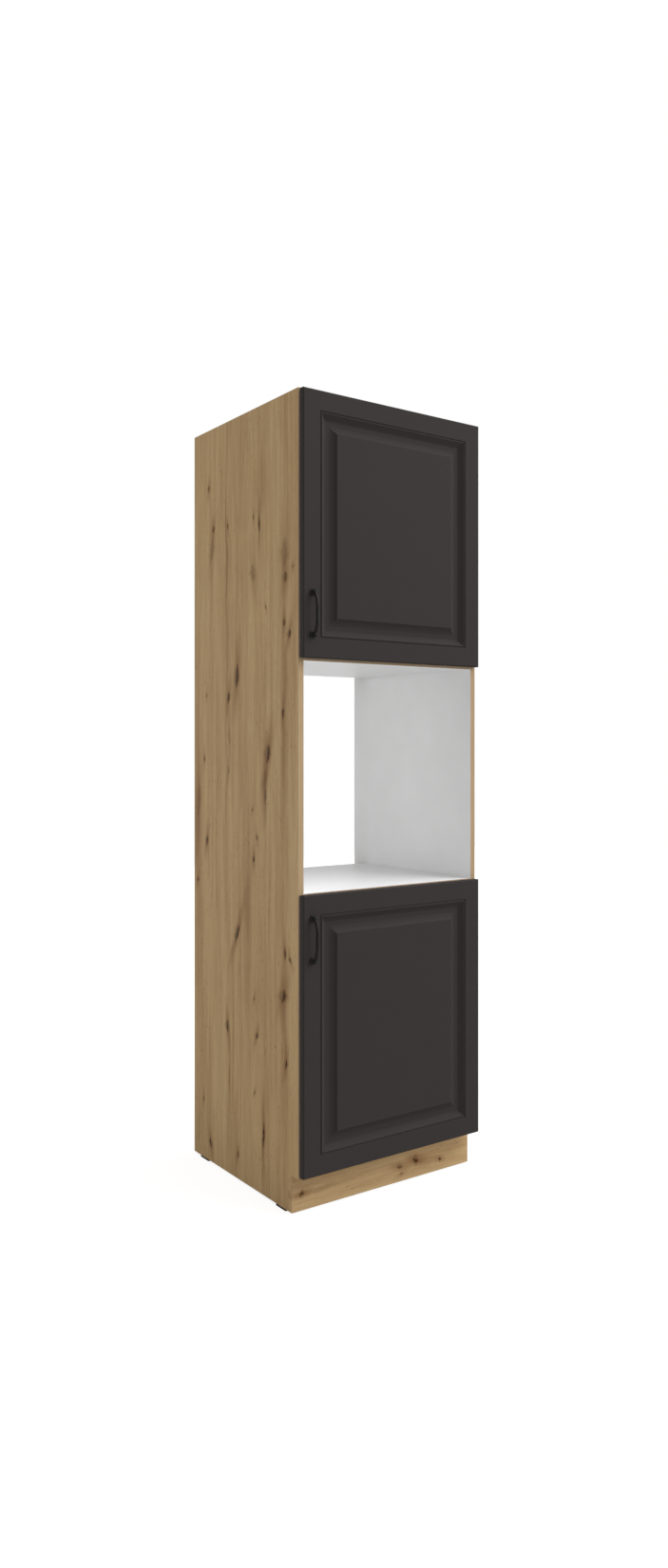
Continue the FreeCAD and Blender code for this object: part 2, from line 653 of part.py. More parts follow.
def make_plinth_and_glides(plinth_bores):
    """The plinth across the toe notches, and a low glide under each end of the sides."""
    blank = box("plinth_blank", (LEFT, shifted(FRONT, "plinth_setback"), "glide_height"),
                ("width", "board", "base_height - glide_height"))
    keep("plinth_board", cut("plinth_board", blank, plinth_bores))
    lines = {"front": shifted(FRONT, "glide_front"), "back": "(%s - glide_back - glide_length)" % BACK}
    for end, line in lines.items():
        for side, start in (("left", LEFT), ("right", RIGHT_INNER)):
            label = "glide_%s_%s" % (end, side)
            block = box(label + "_blank", (start, line, "0"), ("board", "glide_length", "glide_height"))
            doc.recompute()
            glide = doc.addObject("Part::Fillet", label)
            glide.Base = block
            upright = [k for k, edge in enumerate(block.Shape.Edges, start=1)
                       if abs(edge.tangentAt(edge.FirstParameter).z) > HALF_SHARE]
            glide.Edges = [(k, size["glide_corner"], size["glide_corner"]) for k in upright]
            keep(label, glide)


def moulding_wire(mid_x, face_y, low):
    """Section of the door moulding at the middle of the lower rail, from the frame to the field."""
    def at(across, down):
        return Vector(mid_x, face_y + down, low + size["frame_width"] + across)

    def between(begin, width, top, drop, shares):
        return at(begin + shares[0] * width, top + shares[1] * drop)

    groove, bead, ogee = size["groove_width"], size["bead_width"], size["ogee_width"]
    depth, lip, drop = size["moulding_depth"], size["bead_drop"], size["field_drop"]
    bead_start = groove
    ogee_start = bead_start + bead
    recess_start = ogee_start + ogee
    cove_start = recess_start + size["recess_width"]
    field_start = cove_start + size["cove_width"]
    fall = depth - lip
    crown = between(ogee_start, ogee, lip, fall, OGEE_CROWN_SHARES)
    knee = between(ogee_start, ogee, lip, fall, OGEE_KNEE_SHARES)
    toe = between(ogee_start, ogee, lip, fall, OGEE_FOOT_SHARES)
    hollow = between(cove_start, size["cove_width"], drop, depth - drop, COVE_SHARES)
    over = -size["overrun"]
    return Part.Wire([
        Part.LineSegment(at(0, over), at(0, 0)).toShape(),
        Part.Arc(at(0, 0), at(groove / 2, size["groove_depth"]), at(bead_start, lip)).toShape(),
        Part.Arc(at(bead_start, lip), at(bead_start + bead / 2, 0), at(ogee_start, lip)).toShape(),
        Part.Arc(at(ogee_start, lip), crown, knee).toShape(),
        Part.Arc(knee, toe, at(recess_start, depth)).toShape(),
        Part.LineSegment(at(recess_start, depth), at(cove_start, depth)).toShape(),
        Part.Arc(at(cove_start, depth), hollow, at(field_start, drop)).toShape(),
        Part.LineSegment(at(field_start, drop), at(field_start, over)).toShape(),
        Part.LineSegment(at(field_start, over), at(0, over)).toShape()])


def make_door(door, hinge_bores):
    """Raised-panel door: a slab with rounded front edges and a mitred moulding milled round its field."""
    low, high = DOORS[door]
    slab = box(door + "_slab", (shifted(LEFT, "door_side_gap"), DOOR_FRONT, low),
               (DOOR_WIDTH, "door_board", "%s - %s" % (high, low)))
    doc.recompute()
    bounds = slab.Shape.BoundBox
    rounded = doc.addObject("Part::Fillet", door + "_rounded_slab")
    rounded.Base = slab
    front = [k for k, edge in enumerate(slab.Shape.Edges, start=1) if edge.BoundBox.YMax < bounds.Center.y]
    rounded.Edges = [(k, size["door_rounding"], size["door_rounding"]) for k in front]
    inset = size["frame_width"]
    west, east = bounds.XMin + inset, bounds.XMax - inset
    south, north = bounds.ZMin + inset, bounds.ZMax - inset
    middle, face = bounds.Center.x, bounds.YMin
    route = doc.addObject("Part::Feature", door + "_moulding_route")
    turns = ((middle, south), (east, south), (east, north), (west, north), (west, south), (middle, south))
    route.Shape = Part.makePolygon([Vector(x, face, z) for x, z in turns])
    section = doc.addObject("Part::Feature", door + "_moulding_section")
    section.Shape = moulding_wire(middle, face, bounds.ZMin)
    milling = doc.addObject("Part::Sweep", door + "_milling")
    milling.Sections = [section]
    milling.Spine = (route, ["Edge%d" % k for k in range(1, len(route.Shape.Edges) + 1)])
    milling.Solid = True
    milling.Transition = "Right corner"
    milled = cut(door + "_milled_slab", rounded, milling)
    handle_bores = make_handle(door)
    label = door + "_door"
    keep(label, cut(label, milled, joined(label + "_tools", hinge_bores + handle_bores)))
    bumpers = []
    for end, level in (("bottom", shifted(low, "bumper_inset")), ("top", shifted(high, "0 - bumper_inset"))):
        bumpers.append(rod("%s_%s_bumper" % (door, end), "y",
                           (shifted(LEFT, "board / 2"), DOOR_BACK, level), "bumper_radius", "seam - fit"))
    keep(door + "_door_bumpers", grouped(door + "_door_bumpers", bumpers))


def make_handle(door):
    """Bow handle: two turned feet and a bar swept along a line between two arcs."""
    low, high = DOORS[door]
    level = shifted(low, "handle_from_end") if door == "upper" else shifted(high, "0 - handle_from_end")
    x = shifted(LEFT, "door_side_gap + handle_inset")
    pieces, screws, bores = [], [], []
    for end, sign in (("low", "-"), ("high", "+")):
        tag = "%s_handle_%s" % (door, end)
        foot_z = "(%s %s handle_spacing / 2)" % (level, sign)
        rim = rod(tag + "_rim", "y", (x, shifted(DOOR_FRONT, "0 - rosette_rim"), foot_z),
                  "rosette_radius", "rosette_rim")
        neck = doc.addObject("Part::Cone", tag + "_neck")
        neck.Placement = Placement(Vector(), TURNS["y"])
        neck.setExpression("Radius1", named("neck_radius"))
        neck.setExpression("Radius2", named("rosette_radius"))
        neck.setExpression("Height", named("neck_rise - rosette_rim"))
        place(neck, (x, shifted(DOOR_FRONT, "0 - neck_rise"), foot_z))
        bulb = doc.addObject("Part::Sphere", tag + "_bulb")
        bulb.setExpression("Radius", named("bulb_radius"))
        place(bulb, (x, shifted(DOOR_FRONT, "0 - bulb_rise"), foot_z))
        pieces += [rim, neck, bulb]
        seat = (x, DOOR_BACK, foot_z)
        length = "door_board + handle_screw_bite"
        screws.append(screw(tag + "_screw", "y", -1, seat, length, "handle_screw_radius"))
        hole = bore(tag + "_bore", "y", -1, seat, length, "handle_screw_radius")
        bores.append(hole)
    doc.recompute()
    foot = pieces[2].Shape.BoundBox.Center
    top = pieces[-1].Shape.BoundBox.Center
    centre_z = (foot.z + top.z) / 2
    crest_y = foot.y - (size["handle_reach"] - size["bar_radius"] - size["bulb_rise"])
    half = size["handle_straight"] / 2
    rise, span = foot.y - crest_y, top.z - centre_z - half
    radius = (rise * rise + span * span) / (2 * rise)
    pivot_y = crest_y + radius

    def on_arc(sign, share):
        across = share * span
        back = (radius * radius - across * across) ** HALF_SHARE
        return Vector(foot.x, pivot_y - back, centre_z + sign * (half + across))

    arcs = [Part.Arc(on_arc(-1, 1), on_arc(-1, HALF_SHARE), on_arc(-1, 0)).toShape(),
            Part.LineSegment(on_arc(-1, 0), on_arc(1, 0)).toShape(),
            Part.Arc(on_arc(1, 0), on_arc(1, HALF_SHARE), on_arc(1, 1)).toShape()]
    route = doc.addObject("Part::Feature", door + "_handle_route")
    route.Shape = Part.Wire(arcs)
    start = arcs[0]
    section = doc.addObject("Part::Feature", door + "_handle_section")
    section.Shape = Part.Wire([Part.makeCircle(size["bar_radius"], start.valueAt(start.FirstParameter),
                                               start.tangentAt(start.FirstParameter))])
    bar = doc.addObject("Part::Sweep", door + "_handle_bar")
    bar.Sections = [section]
    bar.Spine = (route, ["Edge1", "Edge2", "Edge3"])
    bar.Solid = True
    blank = joined(door + "_handle_blank", pieces + [bar])
    keep(door + "_handle", cut(door + "_handle", blank, joined(door + "_handle_tools", bores)))
    keep(door + "_handle_screws", grouped(door + "_handle_screws", screws))
    return bores


joint_tools = make_joinery()
wall_bores, plinth_bores = make_brackets()
pin_bores = make_shelves()
back_blanks, grooves = make_backs()
plate_bores, door_bores = make_hinges()
make_sides(joint_tools, pin_bores, grooves, plate_bores)
make_fixed_boards(joint_tools, wall_bores, plinth_bores)
keep("upper_back_panel", cut("upper_back_panel", back_blanks["upper_back_panel"], wall_bores))
keep("lower_back_panel", back_blanks["lower_back_panel"])
make_plinth_and_glides(plinth_bores)
for door in DOORS:
    make_door(door, door_bores[door])
doc.recompute()

for thing in doc.Objects:
    if "Invalid" in thing.State or "Error" in thing.State:
        raise RuntimeError("%s failed: %s" % (thing.Label, thing.State))
for label, thing in nodes.items():
    if thing.Shape.isNull() or not thing.Shape.isValid():
        raise RuntimeError("%s has no valid shape" % label)
for label, thing in nodes.items():
    thing.Shape.exportStep("parts/%s.step" % label)
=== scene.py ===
"""Finishes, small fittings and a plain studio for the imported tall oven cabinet."""

import json
import math
from typing import NamedTuple

import bmesh
import bpy
from bpy.props import FloatProperty, FloatVectorProperty, IntProperty, PointerProperty
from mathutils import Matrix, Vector

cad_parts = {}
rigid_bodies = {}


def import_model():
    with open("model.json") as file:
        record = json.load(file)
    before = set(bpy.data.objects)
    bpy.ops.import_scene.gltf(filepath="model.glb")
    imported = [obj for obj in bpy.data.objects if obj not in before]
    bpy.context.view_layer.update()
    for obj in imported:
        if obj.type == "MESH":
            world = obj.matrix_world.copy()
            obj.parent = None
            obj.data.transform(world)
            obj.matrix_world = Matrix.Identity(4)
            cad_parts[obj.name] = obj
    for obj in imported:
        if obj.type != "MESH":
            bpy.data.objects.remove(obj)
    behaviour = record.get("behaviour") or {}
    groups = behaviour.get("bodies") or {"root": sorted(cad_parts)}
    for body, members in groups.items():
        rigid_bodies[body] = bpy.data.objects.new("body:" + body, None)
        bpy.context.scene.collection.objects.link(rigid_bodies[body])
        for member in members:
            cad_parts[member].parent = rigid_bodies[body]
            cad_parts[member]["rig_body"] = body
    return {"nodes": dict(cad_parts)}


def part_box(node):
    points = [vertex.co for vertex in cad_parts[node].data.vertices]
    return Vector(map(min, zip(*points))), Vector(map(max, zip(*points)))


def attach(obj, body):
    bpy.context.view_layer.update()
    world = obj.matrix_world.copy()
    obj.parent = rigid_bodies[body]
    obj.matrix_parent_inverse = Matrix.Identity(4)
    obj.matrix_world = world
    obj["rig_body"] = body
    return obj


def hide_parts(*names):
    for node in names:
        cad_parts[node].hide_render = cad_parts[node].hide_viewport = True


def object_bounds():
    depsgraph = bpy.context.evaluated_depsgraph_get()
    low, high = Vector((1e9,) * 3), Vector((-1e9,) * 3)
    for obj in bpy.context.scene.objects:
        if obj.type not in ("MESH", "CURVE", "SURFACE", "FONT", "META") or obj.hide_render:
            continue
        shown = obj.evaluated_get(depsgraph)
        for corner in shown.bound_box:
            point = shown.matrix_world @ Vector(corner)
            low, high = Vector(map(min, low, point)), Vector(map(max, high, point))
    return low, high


bl_info = {
    "name": "Tall oven cabinet",
    "version": (1, 0, 0),
    "blender": (4, 5, 0),
    "location": "3D View > Sidebar > Cabinet",
    "description": "Finishes, small fittings and studio of a tall kitchen cabinet that houses an oven",
    "category": "Object",
}

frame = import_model()
NODES = frame["nodes"]
CAD_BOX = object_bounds()

SIDE_LOW, SIDE_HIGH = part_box("left_side_panel")
PLINTH_LOW, PLINTH_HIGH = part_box("plinth_board")
DOOR_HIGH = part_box("upper_door")[1]
BACK_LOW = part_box("upper_back_panel")[0]
FIXED_BOARDS = ("bottom_panel", "oven_shelf", "niche_top_shelf", "top_panel")
MILLIMETRE = 0.001
# How near to a face a point still counts as on it, and how near two points count as one, in metres.
FACE_MARGIN = 0.0003
WELD = 1e-6
# How far the floor lies under the glides, in metres.
FLOOR_DROP = 0.0003
WHITE = (1.0, 1.0, 1.0, 1.0)
# Turns a pattern that runs along Z so that it runs along X.
LAID_ALONG = (0.0, math.pi / 2, 0.0)
# Sockets of a Mix node that mixes colours.
MIX_SHARE = 0
MIX_FIRST = 6
MIX_SECOND = 7
MIX_RESULT = 2


class Skin(NamedTuple):
    """Fine surface of a finish: roughness, its drift, grains per metre, relief strength and depth."""
    rough: float
    drift: float
    scale: float
    bump: float
    distance: float
    specular: float = 0.5
    metallic: float = 0.0


class Pattern(NamedTuple):
    """Noise in cycles per metre on each axis, and the values at which it starts to show and is full."""
    scale: tuple
    detail: float
    roughness: float
    start: float
    full: float


class Mottle(NamedTuple):
    """Noise that dulls a finish in places, and the share of its colour that is left there."""
    scale: tuple
    detail: float
    left_share: float


class Knot(NamedTuple):
    """One knot of the oak: its place, half sizes, lean and darkness."""
    across: float
    along: float
    half_width: float
    half_length: float
    lean: float
    depth: float


class Solid(NamedTuple):
    """Low corner, high corner and points of one separate solid of a CAD node."""
    low: Vector
    high: Vector
    points: list


class Seat(NamedTuple):
    """Where a head sits, the way that it faces, and a screw's shank length or a cam lock's height."""
    place: Vector
    outward: Vector
    run: float


OAK_SKIN = Skin(rough=0.5, drift=0.1, scale=900.0, bump=0.08, distance=0.0004, specular=0.03)
MELAMINE_SKIN = Skin(rough=0.45, drift=0.1, scale=700.0, bump=0.06, distance=0.0003, specular=0.3)
HARDBOARD_SKIN = Skin(rough=0.6, drift=0.15, scale=1100.0, bump=0.15, distance=0.0004)
FOIL_SKIN = Skin(rough=0.6, drift=0.06, scale=1300.0, bump=0.08, distance=0.0002, specular=0.03)
LACQUER_SKIN = Skin(rough=0.45, drift=0.2, scale=600.0, bump=0.25, distance=0.0003, specular=0.14)
GLIDE_SKIN = Skin(rough=0.55, drift=0.1, scale=1500.0, bump=0.2, distance=0.0002, specular=0.05)
BUMPER_SKIN = Skin(rough=0.35, drift=0.1, scale=800.0, bump=0.1, distance=0.0001)
BRACKET_SKIN = Skin(rough=0.45, drift=0.1, scale=900.0, bump=0.12, distance=0.0002)
BEECH_SKIN = Skin(rough=0.7, drift=0.1, scale=900.0, bump=0.2, distance=0.0003)
NICKEL_SKIN = Skin(rough=0.3, drift=0.2, scale=500.0, bump=0.08, distance=0.0002, metallic=1.0)
SCREW_SKIN = Skin(rough=0.33, drift=0.2, scale=700.0, bump=0.1, distance=0.0001, metallic=1.0)
ZINC_SKIN = Skin(rough=0.45, drift=0.2, scale=500.0, bump=0.2, distance=0.0003, metallic=1.0)

BEECH_MOTTLE = Mottle((60.0, 900.0, 900.0), 3.0, 0.7)
NICKEL_MOTTLE = Mottle((60.0, 60.0, 260.0), 3.0, 0.82)
SCREW_MOTTLE = Mottle((400.0, 400.0, 400.0), 2.0, 0.8)
ZINC_MOTTLE = Mottle((300.0, 300.0, 300.0), 3.0, 0.75)

# How far every finish drifts in tone, in soft clouds and from grain to grain.
CLOUDS_PER_METRE = 11.0
CLOUD_DETAIL = 2.0
CLOUD_TONE = 0.08
FINE_DETAIL = 3.0
FINE_TONE = 0.05

# Layers of the oak grain, from broad bands to pores, and how far each darkens the wood.
GRAIN_LAYERS = (
    (Pattern((12.0, 12.0, 0.6), 3.0, 0.5, 0.34, 0.66), 0.22),
    (Pattern((55.0, 55.0, 2.4), 3.0, 0.5, 0.34, 0.66), 0.28),
    (Pattern((210.0, 210.0, 7.0), 2.0, 0.5, 0.36, 0.66), 0.17),
    (Pattern((560.0, 560.0, 18.0), 3.0, 0.6, 0.3, 0.7), 0.24),
    (Pattern((1500.0, 1500.0, 45.0), 1.0, 0.5, 0.62, 0.72), 0.26),
)
# How the grain wanders from a straight line, in metres.
WANDER_SCALE = (3.0, 3.0, 1.3)
WANDER_DETAIL = 2.0
WANDER_REACH = (0.018, 0.018, 0.0)
# Brown specks, the patches that they gather in, and their shares outside and inside a patch.
SPECKS = Pattern((330.0, 330.0, 60.0), 2.0, 0.5, 0.63, 0.72)
SPECK_PATCHES = Pattern((14.0, 14.0, 5.0), 2.0, 0.5, 0.4, 0.62)
SPECK_SHARES = (0.06, 0.65)

HARDBOARD_FLECKS = Pattern((260.0, 260.0, 260.0), 4.0, 0.7, 0.35, 0.7)
RUBBED_PATCHES = Pattern((90.0, 90.0, 60.0), 4.0, 0.6, 0.5, 0.75)
CHIP_STRETCH = (1.0, 1.0, 0.4)
CHIPS_PER_METRE = 420.0
CHIP_LEAST_TONE = 0.62
CHIP_TONE_RANGE = 0.5
# How far the front edge bands turn from the panel's oak to the greyer edge tone.
EDGE_GREY_SHARE = 0.65

# Noise that frays a knot and how strongly, and noise that makes its line waver, in metres.
RAGGED_SCALE = (600.0, 600.0, 90.0)
RAGGED_DETAIL = 4.0
RAGGED_ROUGHNESS = 0.65
KNOT_FRAY = 4.0
WAVER_SCALE = (7.0, 7.0, 6.0)
WAVER_REACH = 0.03
# Where the parts of a knot fade, in half widths aside, half lengths along, or both for body and ring.
KNOT_BODY = (0.6, 1.3)
KNOT_RING = (0.7, 2.8)
KNOT_STREAK_ASIDE = (0.2, 3.0)
KNOT_STREAK_ALONG = (0.5, 5.5)
# Ragged noise at which dark flecks start and are full, and the strongest share of ring and streak.
KNOT_FLECKS = (-0.14, -0.22)
KNOT_RING_SHARE = 0.85
KNOT_STREAK_SHARE = 0.55
# A knot's dark side: the pull of its lean and of its fraying, where it fades, and its least share.
KNOT_LEAN_PULL = -2.0
KNOT_FRAY_PULL = -1.5
KNOT_DARK_SIDE = (-0.35, 0.2)
KNOT_DARK_LEAST_SHARE = 0.15
# Darkness of a knot at which its core starts to show and is full.
KNOT_CORE_DEPTH = (0.25, 0.95)
# Each knot adds this much of its brown to the waver that the next knot takes, in metres. Without that
# link from knot to knot, a panel with this many of them rendered black.
KNOT_PUSH = 0.001

# Knots of the side panels: shares of the panel's depth from the front edge and of its
# height, half width and half length in millimetres, half widths that the top leans to the front, darkness.
SIDE_KNOTS = (
    (0.845, 0.92, 5, 10, 0.2, 0.65), (0.335, 0.90, 12, 80, 0.1, 0.3), (0.795, 0.863, 5, 10, 0.2, 0.8),
    (0.40, 0.861, 3, 7, 0.1, 0.65), (0.64, 0.86, 3.5, 8, -0.3, 0.75), (0.345, 0.85, 4, 20, -0.1, 0.9),
    (0.81, 0.835, 9, 32, 0.3, 0.5), (0.66, 0.83, 3, 180, 0.0, 0.5), (0.11, 0.805, 15, 35, 0.2, 0.5),
    (0.40, 0.79, 10, 24, -0.3, 0.5), (0.045, 0.786, 4, 5, 0.3, 0.5), (0.11, 0.775, 8, 14, 0.2, 0.7),
    (0.285, 0.743, 3, 5, -0.5, 0.6), (0.115, 0.72, 5, 10, 0.1, 0.8), (0.075, 0.705, 5, 12, 0.5, 0.9),
    (0.56, 0.66, 8, 30, 0.2, 1.0), (0.11, 0.66, 7, 70, 0.0, 0.35), (0.87, 0.637, 3.5, 6, 0.2, 0.6),
    (0.635, 0.632, 6, 16, 0.2, 0.9), (0.13, 0.608, 4.5, 15, 0.1, 0.95), (0.625, 0.58, 5, 25, 0.1, 0.4),
    (0.27, 0.558, 10, 23, 0.45, 1.0), (0.115, 0.55, 9, 90, 0.0, 0.35), (0.885, 0.55, 4, 12, 0.1, 0.65),
    (0.645, 0.535, 4, 12, 0.2, 0.5), (0.295, 0.525, 9, 30, 0.2, 0.55), (0.285, 0.505, 5, 22, 0.3, 0.65),
    (0.95, 0.495, 11, 50, 0.4, 0.5), (0.40, 0.486, 3, 5, 0.5, 0.65), (0.965, 0.45, 9, 110, 0.0, 0.4),
    (0.36, 0.451, 4.5, 9, -0.2, 0.6), (0.865, 0.438, 5.5, 14, 0.3, 0.85), (0.395, 0.423, 4.5, 10, 0.3, 0.9),
    (0.965, 0.382, 4.5, 8, 0.3, 0.75), (0.45, 0.36, 10, 75, 0.0, 0.35), (0.55, 0.322, 7, 25, 1.3, 1.0),
    (0.11, 0.313, 4.5, 17, 0.1, 0.8), (0.065, 0.307, 4.5, 8, -0.5, 0.7), (0.125, 0.26, 12, 17, 0.4, 1.0),
    (0.395, 0.244, 3, 5, 0.4, 0.6), (0.115, 0.215, 8, 80, 0.0, 0.4), (0.375, 0.198, 4.5, 9, 0.6, 0.8),
    (0.645, 0.195, 5.5, 17, -0.2, 0.9), (0.105, 0.178, 6, 13, 0.3, 0.9), (0.63, 0.13, 3, 35, 0.1, 0.45),
    (0.385, 0.124, 3, 5, 0.4, 0.6), (0.895, 0.081, 3.5, 9, 0.1, 0.65), (0.305, 0.075, 4.5, 34, 0.0, 1.0),
    (0.55, 0.032, 4.5, 9, 0.3, 0.75), (0.82, 0.025, 6.5, 14, -0.2, 0.8),
)
# Knots of the plinth: shares of its height and of its length from the left, half sizes as above, half
# widths that the right end leans down, and darkness.
PLINTH_KNOTS = (
    (0.50, 0.05, 4.5, 9, -0.2, 1.0), (0.48, 0.16, 5, 45, 0.1, 0.35), (0.41, 0.585, 5.5, 9, 0.2, 0.7),
    (0.17, 0.595, 4, 6, -0.3, 0.55), (0.48, 0.68, 8.5, 9, 0.3, 1.0), (0.41, 0.745, 6, 38, -0.1, 0.35),
    (0.36, 0.826, 4.5, 5, 0.2, 0.85),
)

# Faces round a screw's head and shank, and shares of the head's radius for its top and its cross.
HEAD_SIDES = 28
SHANK_SIDES = 14
CROWN_SHARE = 0.74
CROSS_SHARE = 1.1
HEAD_SOCKETS = (
    ("Seats", "Geometry"), ("Head Radius", "Float"), ("Head Height", "Float"), ("Rim Share", "Float"),
    ("Cross Width", "Float"), ("Cross Depth", "Float"), ("Shank Radius", "Float"), ("Shank Length", "Float"),
    ("Seed", "Int"), ("Finish", "Material"),
)


def shade(red, green, blue):
    """A display colour, 0 to 255, as the linear values that Blender's sockets take."""
    shares = [value / 255 for value in (red, green, blue)]
    return tuple(c / 12.92 if c <= 0.04045 else ((c + 0.055) / 1.055) ** 2.4 for c in shares)


def colour(label, about, default):
    """A colour that a user can change."""
    return FloatVectorProperty(name=label, description=about, default=default, subtype="COLOR",
                               size=3, min=0.0, max=1.0)


def length(label, about, default):
    """A length that a user can change, in metres."""
    return FloatProperty(name=label, description=about, default=default, min=0.0, unit="LENGTH")


def power(label, about, default):
    """A lamp's power that a user can change, in watts."""
    return FloatProperty(name=label, description=about, default=default, min=0.0, unit="POWER")


def share(label, about, default):
    """A share from 0 to 1 that a user can change."""
    return FloatProperty(name=label, description=about, default=default, min=0.0, max=1.0, subtype="FACTOR")


def place(label, about, default):
    """A place in the room that a user can change."""
    return FloatVectorProperty(name=label, description=about, default=default, size=3, subtype="TRANSLATION")


class BoardFinish(bpy.types.PropertyGroup):
    """Colours of the boards."""
    oak_light: colour("Oak light", "Pale bands of the oak-look laminate", shade(199, 171, 128))
    oak_dark: colour("Oak dark", "Dark bands and fibres of the oak-look laminate", shade(158, 125, 87))
    oak_edge: colour("Oak edge", "Greyer tone of the front edge bands", shade(172, 149, 121))
    stain: colour("Knot stain", "Brown streak above and below a knot", shade(121, 81, 46))
    heart: colour("Knot heart", "Pale side of a knot", shade(140, 117, 90))
    knot: colour("Knot core", "Dark core of a knot", shade(40, 26, 18))
    white: colour("White", "White melamine of the inner faces", shade(234, 234, 234))
    chipboard: colour("Chipboard", "Raw board where an edge has no band", shade(189, 160, 122))
    hardboard: colour("Hardboard", "Bare rear face of the back panels", shade(122, 92, 66))


class FrontFinish(bpy.types.PropertyGroup):
    """Colours of the doors and handles."""
    graphite: colour("Graphite", "Matt graphite foil of the doors", shade(56, 52, 51))
    iron: colour("Handle black", "Black lacquer of the handles", shade(17, 15, 14))
    rubbed: colour("Handle rubbed", "Lacquer where hands have rubbed it", shade(36, 32, 29))


class FittingFinish(bpy.types.PropertyGroup):
    """Colours and sizes of the fittings."""
    nickel: colour("Nickel", "Nickel plate of hinges, screws and brackets", shade(205, 203, 198))
    zinc: colour("Zinc", "Die-cast zinc of the cam locks", shade(176, 176, 178))
    black_plastic: colour("Black plastic", "Moulded glides", shade(12, 12, 12))
    white_plastic: colour("White plastic", "Moulded plinth brackets", shade(226, 226, 222))
    beech: colour("Beech", "Turned dowels", shade(205, 168, 124))
    bumper: colour("Bumper", "Soft pads behind the doors", shade(214, 214, 212))
    head_height: length("Head height", "Height of a screw's head", 0.0016)
    head_radius: length("Head radius", "Radius of a screw's head", 0.0036)
    rim_share: share("Rim share", "Share of a screw's head that is its straight rim", 0.45)
    cross_width: length("Cross width", "Width of one slot of a screw's cross recess", 0.0009)
    cross_depth: length("Cross depth", "Depth of a screw's cross recess", 0.0009)
    shank_radius: length("Shank radius", "Radius of a screw's shank", 0.0018)
    handle_shank_radius: length("Handle shank radius", "Radius of a handle screw's shank", 0.002)
    cam_rim_share: share("Cam rim share", "Share of a cam lock that is its straight wall", 0.96)
    cam_cross_width: length("Cam cross width", "Width of one slot in a cam lock's face", 0.0022)
    cam_cross_depth: length("Cam cross depth", "Depth of the slots in a cam lock's face", 0.003)
    turn_seed: IntProperty(name="Turn seed", description="Seed for how far each screw is turned", default=7)


class StudioSetup(bpy.types.PropertyGroup):
    """Light, floor and camera."""
    ambient: FloatProperty(name="Ambient", description="Light from all round", default=0.46, min=0.0)
    key_power: power("Key power", "Lamp at the upper right in front", 2900.0)
    key_size: length("Key size", "Side of the square key lamp", 15.0)
    key_place: place("Key place", "Centre of the key lamp", (9.2, -6.2, 9.8))
    fill_power: power("Fill power", "Lamp at the left behind", 46.0)
    fill_size: length("Fill size", "Side of the square fill lamp", 2.6)
    fill_place: place("Fill place", "Centre of the fill lamp", (-2.6, 3.0, 0.8))
    floor_shade: colour("Floor", "Light that the floor sends back", shade(198, 198, 197))
    floor_show: share("Floor show", "Share of the light on the floor that the camera sees", 0.3)
    floor_glow: FloatProperty(name="Floor glow", description="Brightness that the floor shows of itself",
                              default=0.86, min=0.0)
    floor_size: length("Floor size", "Side of the square floor", 14.0)
    camera_place: place("Camera place", "Where the camera stands", (-1.806, -2.531, 1.1956))
    camera_turn: FloatProperty(name="Camera turn", description="Turn of the level camera to the right",
                               default=math.radians(35.13), subtype="ANGLE")
    camera_lens: FloatProperty(name="Lens", description="Focal length for a 36 mm long side", default=24.845,
                               unit="CAMERA")
    camera_shift: FloatVectorProperty(name="Camera shift", description="Shift across and up, in long sides",
                                      size=2, default=(0.00285, -0.0245))


def join(tree, socket, value):
    """Link another socket to an input, or set the input to a value."""
    if isinstance(value, bpy.types.NodeSocket):
        tree.links.new(value, socket)
    else:
        socket.default_value = value


def put(tree, kind, links=None, **settings):
    """Add a node; links maps input names to sockets to join or values to set."""
    made = tree.nodes.new(kind)
    for name, value in settings.items():
        setattr(made, name, value)
    for key, value in (links or {}).items():
        join(tree, made.inputs[key], value)
    return made


def result_of(tree, kind, links=None, **settings):
    """Add a node and give its first output."""
    return put(tree, kind, links, **settings).outputs[0]


def sums(tree, operation, first, second=0.0, third=0.0):
    """One step of arithmetic on sockets or numbers."""
    return result_of(tree, "ShaderNodeMath", {0: first, 1: second, 2: third}, operation=operation)


def blended(tree, portion, first, second):
    """Two colours mixed by a portion."""
    links = {MIX_SHARE: portion, MIX_FIRST: first, MIX_SECOND: second}
    return put(tree, "ShaderNodeMix", links, data_type="RGBA").outputs[MIX_RESULT]


def stretched(tree, vector, scale):
    """A vector scaled on each axis."""
    return result_of(tree, "ShaderNodeVectorMath", {0: vector, 1: scale}, operation="MULTIPLY")


def noise(tree, vector, scale, detail=2.0, roughness=0.5):
    """Noise, about 0 to 1, with its own cycles per metre on each axis."""
    links = {"Vector": stretched(tree, vector, scale), "Scale": 1.0, "Detail": detail,
             "Roughness": roughness}
    return put(tree, "ShaderNodeTexNoise", links).outputs["Fac"]


def ramped(tree, value, low, high, out_low=0.0, out_high=1.0):
    """A value brought smoothly from one range to another."""
    links = {"Value": value, "From Min": low, "From Max": high, "To Min": out_low, "To Max": out_high}
    return put(tree, "ShaderNodeMapRange", links, interpolation_type="SMOOTHSTEP").outputs["Result"]


def faded(tree, value, span, top=1.0):
    """A value that is full at the start of a span and nothing at its end."""
    return ramped(tree, value, *span, top, 0.0)


def patterned(tree, vector, pattern, out_low=0.0, out_high=1.0):
    """Noise of a pattern, brought to a range."""
    grey = noise(tree, vector, pattern.scale, pattern.detail, pattern.roughness)
    return ramped(tree, grey, pattern.start, pattern.full, out_low, out_high)


def opaque(rgb):
    """A colour with its alpha."""
    return (*rgb, 1.0)


def split(tree, vector):
    """The three sockets of a vector."""
    return put(tree, "ShaderNodeSeparateXYZ", {"Vector": vector}).outputs


